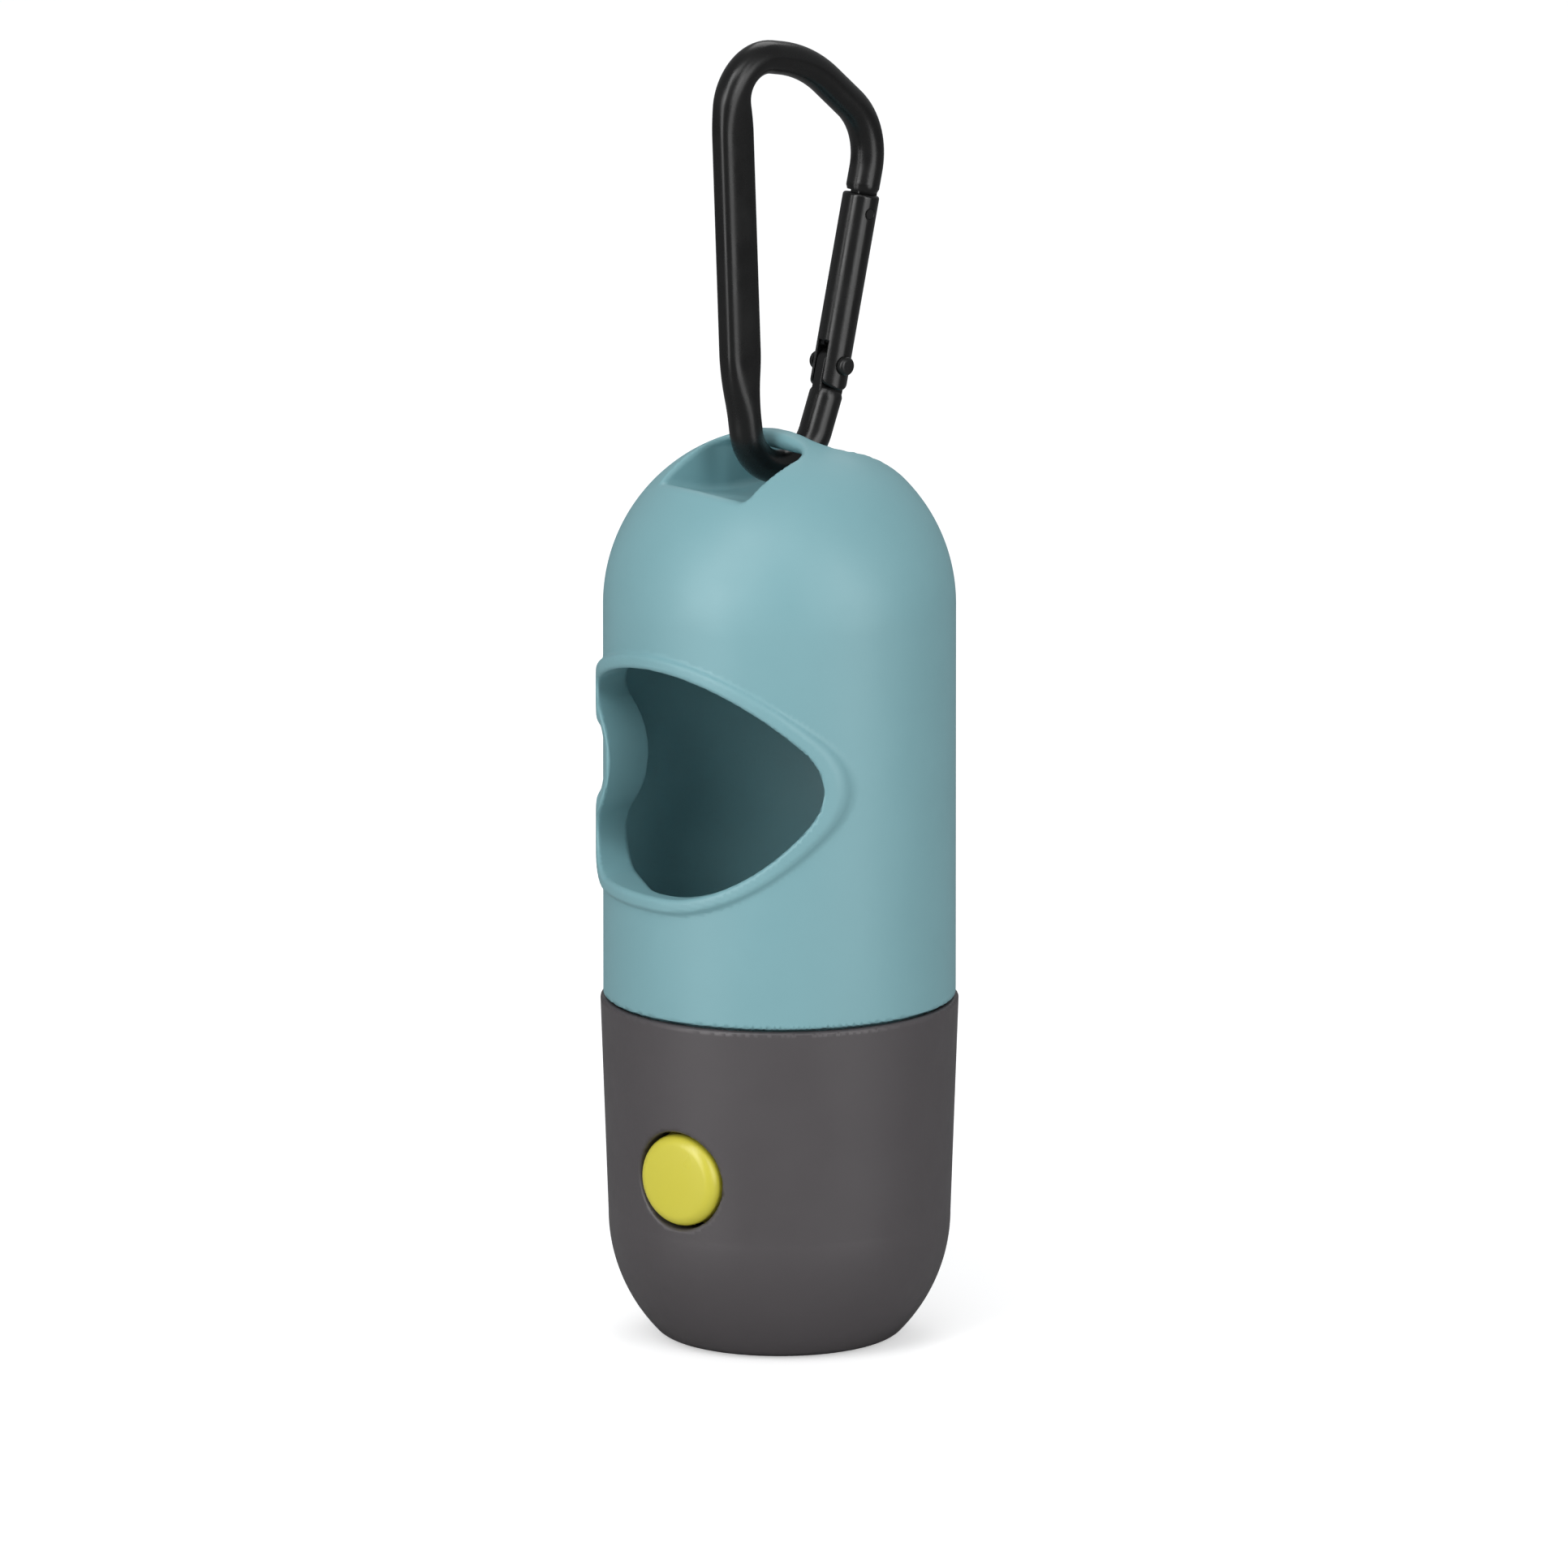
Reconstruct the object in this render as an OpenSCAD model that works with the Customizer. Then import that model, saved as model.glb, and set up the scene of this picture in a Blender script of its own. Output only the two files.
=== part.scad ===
// Dog poop bag dispenser: a capsule that holds a roll of bags, with a torch in its
// screw cap and a small carabiner through its crown. Millimetres, +Z up. The origin
// is the centre of the flat base, and the mouth of the capsule faces -Y.

/* [Capsule] */
// Height of the closed capsule from its flat base to its crown
body_h = 110; // [104:0.5:118]
// Outer diameter of the upper housing
housing_d = 42; // [41:0.25:45]
// Wall of the upper housing
housing_wall = 2; // [1.7:0.1:2.4]
// Height of the seam between the cap and the housing
seam_z = 41.4; // [40:0.2:44]
// Gap between the cap's rim and the shoulder of the housing
seam_gap = 0.25; // [0.1:0.05:0.5]
// How far the cap's rim stands proud of the housing all round
rim_proud = 0.35; // [0.2:0.05:0.6]

/* [Mouth] */
// Height of the middle of the mouth above the base
mouth_z = 70.6; // [68:0.2:74]
// Height of the mouth above its middle
mouth_high = 13.4; // [11.5:0.1:14.5]
// Depth of the mouth below its middle
mouth_low = 14; // [11.5:0.25:14.5]
// Reach of the rounded tip to the right of the middle
mouth_tip_x = 16.7; // [15:0.1:17.5]
// Radius of the rounded tip
mouth_tip_r = 7.9; // [7:0.1:9.5]
// Reach of the two lobes to the left of the middle
mouth_lobe_x = 16.9; // [16:0.1:17.5]
// Radius of the upper lobe
high_lobe_r = 2.2; // [1.8:0.1:3.4]
// Radius of the lower lobe
low_lobe_r = 4.4; // [3.4:0.1:5]
// Radius of the edge that falls away to the upper lobe
high_brow_r = 25; // [22:1:32]
// Radius of the edge that falls away to the lower lobe
low_brow_r = 240; // [160:10:300]
// Reach of the notch between the lobes to the left of the middle
mouth_notch_x = 13.7; // [12.6:0.1:14.4]
// Width of the raised band round the mouth
lip_w = 1.9; // [1.2:0.1:2.4]
// Height of the raised band over the housing
lip_proud = 0.7; // [0.4:0.1:1.2]
// Distance of the guide's inner edge from the capsule's axis
guide_y = 7.3; // [6.5:0.1:10]
// Thickness of the guide's wall behind the mouth's left side
guide_w = 1.6; // [1.2:0.1:1.8]

/* [Crown] */
// Turn of the crown's tunnel and the carabiner about the axis, from the mouth
crown_turn = 11; // [0:1:20]
// Half the width of the tunnel through the crown
tunnel_half_w = 7; // [5.5:0.1:7.5]
// Height of the tunnel's floor below the crown
tunnel_depth = 8; // [7.6:0.1:8.4]
// Radius of the tunnel's dished floor
floor_r = 35; // [28:1:50]
// Thickness of the plastic round the tunnel
tunnel_wall = 1.8; // [1.4:0.1:2.2]
// Thickness of the bridge over the tunnel
bridge_t = 2.1; // [1.7:0.1:2.3]
// Width of the bridge at its middle
bridge_w = 2.8; // [2.2:0.1:3]
// Radius that spreads the bridge into the dome at each end
bridge_spread_r = 3; // [1.5:0.25:4]
// Radius of the bridge's rounded lower edges
bridge_round_r = 1.2; // [0.8:0.05:1.3]

/* [Neck and thread] */
// Length of the threaded neck below the seam
neck_l = 7.4; // [6.8:0.1:7.8]
// Wall of the neck
neck_wall = 1.6; // [1.3:0.1:1.9]
// Wall of the cap's rim outside the thread
rim_wall = 1.3; // [1.1:0.1:1.4]
// Pitch of the screw thread
thread_pitch = 4; // [3.6:0.1:4.4]
// Depth of each thread
thread_h = 0.8; // [0.6:0.05:0.9]
// Width of each thread at its crest
thread_crest_w = 1.2; // [0.9:0.05:1.3]
// Clearance between a thread's crest and the wall that it faces
thread_gap = 0.3; // [0.25:0.05:0.4]

/* [Cap] */
// How much narrower than the housing the cap is where its side meets the round bottom
cap_taper = 1.2; // [0.4:0.1:2]
// Height where the round bottom starts
cap_round_z = 15.1; // [14:0.1:16.5]
// Wall of the cap
cap_wall = 2; // [1.6:0.1:2.2]
// Thickness of the cap's flat floor
cap_floor = 1.6; // [1.2:0.1:2]
// Turn of the closed cap about the axis, from the mouth
cap_turn = 0.5; // [0:0.5:10]
// Thickness of the inner cover that carries the bags
cover_t = 1.6; // [1.2:0.1:1.8]
// Gap between the neck and the inner cover
cover_gap = 0.6; // [0.4:0.05:0.8]
// Distance of the cover screws from the cap's inner wall
post_inset = 2.4; // [2:0.1:2.8]
// Diameter of the posts that take the cover screws
post_d = 5.2; // [4.8:0.1:5.6]
// Length of a cover screw under its head
screw_l = 7; // [5:0.5:10]
// Diameter of a cover screw
screw_d = 2; // [1.8:0.1:2.2]
// Diameter of a cover screw's head
screw_head_d = 3.8; // [3.4:0.1:4]
// Thickness of a cover screw's head
screw_head_t = 1; // [0.8:0.1:1.1]

/* [Torch] */
// Width of the flat base that is left round the light window
base_rim = 4.5; // [4.2:0.1:5.5]
// Width of the lens's flange beyond the window
lens_flange = 1.1; // [0.8:0.1:1.4]
// Thickness of the lens's flange
lens_t = 1.2; // [1:0.1:1.6]
// Depth of the lens's face behind the flat base
window_recess = 0.4; // [0.2:0.1:0.8]
// Height of the reflector
reflector_h = 6; // [5:0.25:7]
// Wall of the reflector
reflector_wall = 0.9; // [0.7:0.1:1.1]
// Diameter of the lamp
lamp_d = 5; // [4.8:0.1:5.2]
// Height of the lamp's round tip above the base
lamp_tip_z = 5.5; // [5:0.1:6]
// Length of the lamp from its tip to its flat back
lamp_l = 8.6; // [8:0.1:9]

/* [Switch] */
// Height of the button's middle above the base
button_z = 22.3; // [21:0.1:23.5]
// Diameter of the button
button_d = 11.1; // [9.5:0.1:12]
// Gap round the button
button_gap = 0.4; // [0.3:0.05:0.5]
// Height of the button's edge over the cap's side
button_proud = 0.1; // [0:0.1:1.2]
// Height of the button's dome over its edge
button_dome = 0.4; // [0.3:0.1:0.8]
// Travel of the button
button_travel = 0.8; // [0.5:0.1:1]
// Width of the retaining flange beyond the button
button_flange_w = 1; // [0.8:0.1:1.2]
// Thickness of the retaining flange
button_flange_t = 1; // [0.8:0.1:1.2]
// Width of the square switch
switch_w = 6; // [5.6:0.1:6.4]
// Depth of the switch's body
switch_t = 3.4; // [3:0.1:3.8]
// Diameter of the switch's plunger
plunger_d = 3.4; // [3:0.1:3.6]
// Thickness of the circuit board
board_t = 1.2; // [1:0.1:1.6]
// Distance of the circuit board's edges from the middles of the posts that hold it
board_inset = 1.85; // [1.6:0.05:2.1]

/* [Battery] */
// Diameter of a button cell
cell_d = 11.6; // [11:0.1:11.8]
// Thickness of a button cell
cell_t = 5.4; // [5:0.1:5.6]
// Number of button cells
cell_count = 3; // [2:1:3]
// Gap between the battery tray and the rear post
tray_post_gap = 1.5; // [1:0.1:1.8]
// Wall of the battery tray
tray_wall = 1.2; // [1:0.1:1.4]
// Wire of the contact spring
contact_wire_d = 0.5; // [0.4:0.05:0.6]
// Length of the contact spring
contact_spring_l = 3.2; // [2.8:0.1:3.6]

/* [Carabiner] */
// Diameter of the carabiner's bar
bar_d = 4; // [3.6:0.1:4.2]
// Width of the flattened spine, in the plane of the loop
spine_w = 5.2; // [4.4:0.1:5.6]
// Thickness of the flattened spine
spine_t = 3.1; // [2.8:0.1:3.6]
// Radius of the bottom bend at the middle of the bar
bend_r = 5.8; // [5.6:0.1:6.2]
// Play between the bend and the bridge that it carries
bend_play = 0.3; // [0.2:0.05:0.5]
// Diameter of the gate
gate_d = 4.4; // [4:0.1:4.6]
// Reach of the gate's foot below the hinge pin
gate_foot = 3; // [2.6:0.1:3.2]
// Bore of the gate
gate_bore_d = 2.6; // [2.2:0.1:2.8]
// Width of the slots in the gate's two ends
gate_slot_w = 1.7; // [1.5:0.1:1.9]
// Clearance between the frame's tongues and the gate's slots
tongue_gap = 0.1; // [0.05:0.05:0.2]
// Diameter of the gate's hinge pin
pin_d = 1.5; // [1.2:0.1:1.6]
// Length of the gate's hinge pin over its heads
pin_l = 6; // [5.6:0.1:6.4]
// Diameter of the hinge pin's heads
pin_head_d = 2.3; // [2:0.1:2.6]
// Diameter of the latch pin
latch_d = 1.2; // [1:0.1:1.3]
// Running clearance of the pins in their bores
pin_gap = 0.06; // [0.04:0.01:0.1]

/* [Hidden] */

$fn = 96;
eps = 0.01;
far = 60;

teal = "#86AEB5";
grey = "#575355";
yellow = "#CEC846";
black = "#1E1E1E";
clear = "#DDE6E8";
chrome = "#C9CCD0";
steel = "#A9ADB2";
board_green = "#2F6B45";
brown = "#9A7B55";
white = "#E8E8E2";

// Capsule
housing_r = housing_d / 2;
chamber_r = housing_r - housing_wall;
dome_z = body_h - housing_r;
rim_r = housing_r + rim_proud;
low_r = housing_r - cap_taper / 2;
shoulder_z = seam_z + seam_gap;
neck_bottom = seam_z - neck_l;

// Mouth: how far left of the middle its highest and lowest points lie, and the slant
// at which the guide's two ends run out into the chamber's wall
tip_at = mouth_tip_x - mouth_tip_r;
high_brow_x = 3;
low_brow_x = 2;
arc_step = 6;
high_lobe_z = lobe_rise(mouth_high, high_lobe_r, high_brow_r, high_brow_x);
low_lobe_z = lobe_rise(mouth_low, low_lobe_r, low_brow_r, low_brow_x);
guide_slant = 41.5;
guide_end = [-mouth_lobe_x, -guide_y - 0.3];

// Crown
floor_z = body_h - tunnel_depth;
ceiling_z = floor_z - tunnel_wall;
bridge_under = body_h - bridge_t;

// Neck and thread: neck, male thread, female thread and cap bore from inside out
cap_bore_r = low_r - cap_wall;
bore_r = rim_r - rim_wall;
neck_r = bore_r - thread_h - thread_gap;
neck_bore_r = neck_r - neck_wall;
male_r = neck_r + thread_h;
female_r = bore_r - thread_h;
thread_flank = 30;
thread_margin = 0.4;
thread_root_w = thread_crest_w + 2 * thread_h * tan(thread_flank);
thread_low = neck_bottom + thread_margin + thread_root_w / 2;
male_turns = 1.1;
female_turns = 1.05;
thread_steps = 30;
thread_sink = 0.25;
thread_toe = 0.1;
thread_fade = 3;

// Cap
cover_top = neck_bottom - cover_gap;
cover_bottom = cover_top - cover_t;
cover_r = female_r - 0.2;
post_at = cap_bore_r - post_inset;
post_angles = [90, 210, 330];
post_top = cover_bottom;
screw_fit = 0.06;
pilot_l = screw_l + 1;

// Torch
window_r = sqrt(pow(low_r, 2) - pow(cap_round_z, 2)) - base_rim;
optic_gap = 0.1;
lens_r = window_r + lens_flange;
lens_z = cap_floor + optic_gap;
lens_top = lens_z + lens_t;
collar_r = lens_r + optic_gap;
collar_wall = 1.3;
reflector_z = lens_top;
reflector_top = reflector_z + reflector_h;
reflector_r = lens_r;
lamp_r = lamp_d / 2;
lamp_hole_r = lamp_r + optic_gap;
lamp_back = lamp_tip_z + lamp_l;
lamp_flange_r = lamp_r + 0.4;
lamp_flange_t = 1;
lead_at = 1.27;
lead_w = 0.5;
lead_z = lamp_back + 1.6;

// Switch: measured from the cap's side at the button's height
button_r = button_d / 2;
side_r = low_r + (rim_r - low_r) * (button_z - cap_round_z) / (seam_z - cap_round_z);
button_edge = side_r + button_proud;
button_hole_r = button_r + button_gap;
flange_r = button_r + button_flange_w;
sleeve_wall = 1.3;
sleeve_r = button_hole_r + sleeve_wall;
sleeve_end = sqrt(pow(cap_bore_r, 2) - pow(sleeve_r, 2)) - 0.2;
flange_gap = 0.2;
flange_face = sleeve_end - flange_gap;
flange_back = flange_face - button_flange_t;
board_y = -post_at * sin(post_angles[1]);
board_w = -2 * post_at * cos(post_angles[1]) - 2 * board_inset;
board_front = board_y + board_t / 2;
board_back = board_y - board_t / 2;
switch_front = board_front + switch_t;
plunger_r = plunger_d / 2;
plunger_sink = 0.5;
plunger_room = 0.1;
plunger_front = switch_front + button_travel + 0.5;
cover_plate_t = 0.3;
board_bottom = lamp_back - 3;
board_top = cover_bottom - 0.6;
groove_gap = 0.15;

// Battery
cell_r = cell_d / 2;
cell_room = 2.4;
stack_l = cell_count * cell_t;
cell_z = cover_bottom - cell_r - cell_room;
plate_t = 0.4;
stack_x = (contact_spring_l - stack_l) / 2;
stack_right = stack_x + stack_l;
tray_in_l = stack_l + contact_spring_l + 2 * plate_t;
tray_left = -tray_in_l / 2;
tray_gap = 0.3;
tray_in_w = cell_d + 2 * tray_gap;
cell_y = post_at - post_d / 2 - tray_post_gap - tray_wall - tray_in_w / 2;
tray_floor = cell_z - cell_r - tray_gap;
tray_bottom = tray_floor - tray_wall;
tray_top = cell_z + 0.35 * cell_r;
tray_front = cell_y - tray_in_w / 2 - tray_wall;

// Carabiner: u runs along the loop's width and z up, in the plane of the loop. The
// loop's corners are given by their place across and their rise over the bend's middle.
bar_r = bar_d / 2;
bend_u = 0.4;
bend_z = bridge_under - bend_play + bend_r - bar_r;
gate_r = gate_d / 2;
lean_out = 18;
lean_in = 8;
pivot_u = 8.35;
pivot_rise = 5.6;
shoulder_u = 15.03;
shoulder_rise = 33.4;
shoulder_r = 8.5;
peak_u = 4.2;
peak_rise = 42.9;
peak_r = 16;
back_u = -7.85;
back_rise = 45.4;
back_r = 5.2;
heel_u = -6.13;
heel_rise = 4.8;
heel_r = 30;
spine_start = 0.5;
spine_end = 44;
pivot = [pivot_u, bend_z + pivot_rise];
gate_lean = 13.4;
gate_l = 20.5;
nose_gap = 0.3;
tongue_t = gate_slot_w - 2 * tongue_gap;
latch_at = gate_l - 2.2;
nose_hold = 0.6;
tongue_l = 3.9;
play = 0.05;
slot_top_l = tongue_l + nose_hold;
slot_low_l = gate_r + 0.4;
tongue_r = gate_r - 0.3;
foot_gap = 0.25;
hook_w = latch_d + 0.3;
head_gap = 0.02;
plunger_head = gate_r + 2.2;
up = [sin(gate_lean), cos(gate_lean)];
nose = pivot + (gate_l + nose_gap) * up;
// Corners of the bar's middle line from the nose over the top to the spine's foot
foot = [bend_u - bend_r * cos(lean_in), bend_z - bend_r * sin(lean_in)];
corners = [nose, [shoulder_u, bend_z + shoulder_rise], [peak_u, bend_z + peak_rise],
           [back_u, bend_z + back_rise], [heel_u, bend_z + heel_rise], foot];
corner_r = [0, shoulder_r, peak_r, back_r, heel_r, 0];
spine_low = bend_z + spine_start;
spine_high = bend_z + spine_end;
press_l = 8.5;
press_square = 0.42;
bar_sides = 20;
bend_step = 9;

// Places a piece in the plane of the carabiner's loop: x is along the loop's width,
// y is up and z is square to the loop.
module in_loop() {
    rotate([0, 0, -crown_turn]) rotate([90, 0, 90]) children();
}

// Places a piece along the gate: x points out of the loop, y is up it from the pin.
module on_gate() {
    in_loop() translate([pivot[0], pivot[1], 0]) rotate([0, 0, -gate_lean]) children();
}

// Turns the cap's pieces to where the closed cap stops.
module in_cap() {
    rotate([0, 0, cap_turn]) children();
}

// Lays a cylinder along Y, from y1 to y2, where y is measured towards the mouth.
module rod_y(radius, y1, y2) {
    translate([0, -y1, 0]) rotate([90, 0, 0]) cylinder(r = radius, h = y2 - y1);
}

// A tube swept through rings, each a closed list of as many points.
module swept(rings) {
    sides = len(rings[0]);
    last = len(rings) - 1;
    polyhedron(
        points = [for (ring = rings) for (p = ring) p],
        faces = concat(
            [[for (j = [0 : sides - 1]) j]],
            [for (i = [0 : last - 1]) for (j = [0 : sides - 1])
                [i * sides + j, (i + 1) * sides + j, (i + 1) * sides + (j + 1) % sides]],
            [for (i = [0 : last - 1]) for (j = [0 : sides - 1])
                [i * sides + j, (i + 1) * sides + (j + 1) % sides, i * sides + (j + 1) % sides]],
            [[for (j = [sides - 1 : -1 : 0]) last * sides + j]]),
        convexity = 8);
}

// Points along an arc, from one angle to another.
function arc(centre, radius, from, to) =
    let (steps = max(1, ceil(abs(to - from) / arc_step)))
    [for (i = [0 : steps])
        let (angle = from + (to - from) * i / steps)
        [centre[0] + radius * cos(angle), centre[1] + radius * sin(angle)]];

// One half of the mouth's outline, a heart on its side with its tip to the right,
// grown by an even band: tip, side, brow, lobe and notch run into each other.
function mouth_half(half_h, lobe_r, brow_r, brow_x, grow) =
    let (run = tip_at + brow_x,
         side_r = (pow(half_h, 2) + pow(run, 2) - pow(mouth_tip_r, 2)) / (2 * (half_h - mouth_tip_r)),
         side_angle = atan2(side_r - half_h, run),
         lobe_x = mouth_lobe_x - lobe_r,
         lobe_z = lobe_rise(half_h, lobe_r, brow_r, brow_x),
         brow_angle = atan2(lobe_z - half_h + brow_r, brow_x - lobe_x),
         inset = mouth_notch_x - lobe_x,
         notch_r = (pow(inset, 2) + pow(lobe_z, 2) - pow(lobe_r, 2)) / (2 * (lobe_r - inset)),
         notch_x = mouth_notch_x + notch_r,
         notch_angle = atan2(lobe_z, notch_x - lobe_x),
         tip = arc([tip_at, 0], mouth_tip_r + grow, 0, side_angle),
         side = arc([-brow_x, half_h - side_r], side_r + grow, side_angle, 90),
         brow = arc([-brow_x, half_h - brow_r], brow_r + grow, 90, brow_angle),
         lobe = arc([-lobe_x, lobe_z], lobe_r + grow, brow_angle, 180 + notch_angle),
         notch = arc([-notch_x, 0], notch_r - grow, notch_angle, 0))
    concat(tip, rest(side), rest(brow), rest(lobe), rest(notch));

// Height of a lobe's middle over the mouth's middle.
function lobe_rise(half_h, lobe_r, brow_r, brow_x) =
    half_h - brow_r + sqrt(pow(brow_r - lobe_r, 2) - pow(mouth_lobe_x - lobe_r - brow_x, 2));

// A list without its first item.
function rest(list) = [for (i = [1 : len(list) - 1]) list[i]];

// The mouth's outline drawn out from the axis to the front.
module mouth_prism(grow = 0) {
    upper = mouth_half(mouth_high, high_lobe_r, high_brow_r, high_brow_x, grow);
    lower = mouth_half(mouth_low, low_lobe_r, low_brow_r, low_brow_x, grow);
    translate([0, 0, mouth_z]) rotate([90, 0, 0]) linear_extrude(height = far)
        polygon(concat(upper, [for (i = [len(lower) - 2 : -1 : 1]) [lower[i][0], -lower[i][1]]]));
}

// Guide behind the mouth's left side: the edge of the lobes and of the notch runs
// straight in to lead the bag's end, and is cut back at a slant past each lobe.
module mouth_guide() {
    difference() {
        intersection() {
            mouth_prism(guide_w);
            translate([-far, -far, mouth_z - far / 2]) cube([far, far - guide_y, far]);
            translate([0, 0, mouth_z - far / 2]) cylinder(r = housing_r - housing_wall / 2, h = far);
        }
        for (low = [mouth_z + high_lobe_z, mouth_z - low_lobe_z - far])
            translate([0, 0, low]) linear_extrude(height = far)
                polygon([guide_end, guide_end + 2 * far * [cos(guide_slant), -sin(guide_slant)],
                         [2 * far, far], [guide_end[0], far]]);
    }
}

// Space of the crown's tunnel: two open pockets joined under the bridge.
module tunnel_space() {
    spread = bridge_spread_r;
    half_bridge = bridge_w / 2;
    rotate([0, 0, -crown_turn]) {
        intersection() {
            translate([-tunnel_half_w, 0, body_h - tunnel_depth + floor_r]) rotate([0, 90, 0])
                cylinder(r = floor_r, h = 2 * tunnel_half_w);
            translate([0, 0, floor_z - 1]) linear_extrude(height = far)
                for (side = [-1, 1]) {
                    translate([-tunnel_half_w, side > 0 ? half_bridge + spread : -far])
                        square([2 * tunnel_half_w, far - half_bridge - spread]);
                    translate([-tunnel_half_w + spread, side > 0 ? half_bridge : -far])
                        square([2 * (tunnel_half_w - spread), far - half_bridge]);
                    for (end = [-1, 1])
                        translate([end * (tunnel_half_w - spread), side * (half_bridge + spread)])
                            circle(r = spread);
                }
        }
        intersection() {
            translate([-tunnel_half_w, 0, body_h - tunnel_depth + floor_r]) rotate([0, 90, 0])
                cylinder(r = floor_r, h = 2 * tunnel_half_w);
            translate([-tunnel_half_w, -half_bridge - spread, floor_z - 1])
                cube([2 * tunnel_half_w, 2 * (half_bridge + spread), bridge_under - floor_z + 1]);
        }
    }
}

// Rounds the bridge's two lower edges.
module bridge_edges() {
    half_bridge = bridge_w / 2;
    round_r = bridge_round_r;
    rotate([0, 0, -crown_turn])
        for (side = [-1, 1])
            difference() {
                translate([-tunnel_half_w, side > 0 ? half_bridge - round_r : -half_bridge - eps,
                           bridge_under - eps])
                    cube([2 * tunnel_half_w, round_r + eps, round_r + eps]);
                translate([-tunnel_half_w - 1, side * (half_bridge - round_r), bridge_under + round_r])
                    rotate([0, 90, 0]) cylinder(r = round_r, h = 2 * tunnel_half_w + 2);
            }
}

// One screw thread: a ridge that climbs round the axis, rising out of the wall at
// one end and sinking back into it at the other. It goes from the radius root to
// the radius crest, and its foot lies a little inside the wall.
module screw_ridge(root, crest, z_start, start_angle, turns) {
    steps = round(turns * thread_steps);
    out = crest > root ? 1 : -1;
    base = root - out * thread_sink;
    half_tip = thread_crest_w / 2;
    half_base = thread_root_w / 2 + thread_sink * tan(thread_flank);
    swept([for (i = [0 : steps])
        let (angle = start_angle + 360 * turns * i / steps,
             z = z_start + thread_pitch * turns * i / steps,
             rise = min(1, min(i, steps - i) / thread_fade),
             tip = base + out * (thread_toe + (thread_h + thread_sink - thread_toe) * rise),
             profile = [[base, z - half_base], [tip, z - half_tip],
                        [tip, z + half_tip], [base, z + half_base]])
        [for (k = [0 : 3])
            let (p = profile[out > 0 ? 3 - k : k])
            [p[0] * cos(angle), p[0] * sin(angle), p[1]]]]);
}

// Upper housing: dome, bag chamber, mouth with its raised lip, crown tunnel and neck.
module upper_housing() {
    color(teal) union() {
        difference() {
            union() {
                difference() {
                    housing_outside();
                    chamber_space();
                }
                mouth_guide();
            }
            mouth_prism();
            tunnel_space();
            bridge_edges();
        }
        screw_ridge(neck_r, male_r, thread_low, 0, male_turns);
    }
}

// Outer shape of the housing with its neck and the raised lip.
module housing_outside() {
    translate([0, 0, dome_z]) intersection() {
        sphere(r = housing_r);
        cylinder(r = far, h = far);
    }
    translate([0, 0, shoulder_z]) cylinder(r = housing_r, h = dome_z - shoulder_z);
    translate([0, 0, neck_bottom]) cylinder(r = neck_r, h = shoulder_z - neck_bottom + 1);
    intersection() {
        translate([0, 0, mouth_z - far / 2]) cylinder(r = housing_r + lip_proud, h = far);
        mouth_prism(lip_w);
    }
}

// Bag chamber, from the neck up. It reaches into the dome beside the tunnel's walls.
module chamber_space() {
    block = tunnel_half_w + tunnel_wall;
    funnel = chamber_r - neck_bore_r;
    difference() {
        union() {
            translate([0, 0, dome_z]) intersection() {
                sphere(r = chamber_r);
                cylinder(r = far, h = far);
            }
            translate([0, 0, shoulder_z + 2 * funnel])
                cylinder(r = chamber_r, h = dome_z - shoulder_z - 2 * funnel);
        }
        rotate([0, 0, -crown_turn]) translate([-block, -far / 2, ceiling_z])
            cube([2 * block, far, far]);
    }
    translate([0, 0, shoulder_z + funnel]) cylinder(r1 = neck_bore_r, r2 = chamber_r, h = funnel);
    translate([0, 0, neck_bottom - 1])
        cylinder(r = neck_bore_r, h = shoulder_z + funnel - neck_bottom + 1);
}

// Cap shell: round bottom with the light window, threaded rim, button hole with its
// sleeve, screw posts, and the collar that holds the lens and carries the tray.
module cap_shell() {
    color(grey) in_cap() {
        cap_body();
        screw_ridge(bore_r, female_r, thread_low, 180 - cap_turn, female_turns);
    }
}

// Cap shell without its thread.
module cap_body() {
    difference() {
        union() {
            difference() {
                cap_outside();
                cap_inside();
            }
            intersection() {
                union() {
                    for (angle = post_angles)
                        rotate([0, 0, angle]) translate([post_at, 0, 0])
                            cylinder(d = post_d, h = post_top);
                    difference() {
                        cylinder(r = collar_r + collar_wall, h = tray_bottom);
                        translate([0, 0, -1]) cylinder(r = collar_r, h = tray_bottom + 2);
                    }
                }
                union() {
                    translate([0, 0, cap_round_z]) sphere(r = low_r - cap_wall / 2);
                    translate([0, 0, cap_round_z]) cylinder(r = low_r - cap_wall / 2, h = far);
                }
                translate([0, 0, cap_floor / 2]) cylinder(r = far, h = far);
            }
            translate([0, 0, button_z]) intersection() {
                rod_y(sleeve_r, sleeve_end, far);
                cylinder(r = low_r - cap_wall / 2, h = far, center = true);
            }
        }
        translate([0, 0, -1]) cylinder(r = window_r + optic_gap, h = cap_floor + 2);
        translate([0, 0, button_z]) rod_y(button_hole_r, board_y, far);
        for (angle = post_angles)
            rotate([0, 0, angle]) translate([post_at, 0, post_top - pilot_l])
                cylinder(r = screw_d / 2 + screw_fit, h = pilot_l + 1);
        board_groove();
    }
}

// Outer shape of the cap.
module cap_outside() {
    intersection() {
        translate([0, 0, cap_round_z]) sphere(r = low_r);
        cylinder(r = far, h = cap_round_z);
    }
    translate([0, 0, cap_round_z]) cylinder(r1 = low_r, r2 = rim_r, h = seam_z - cap_round_z);
}

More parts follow.
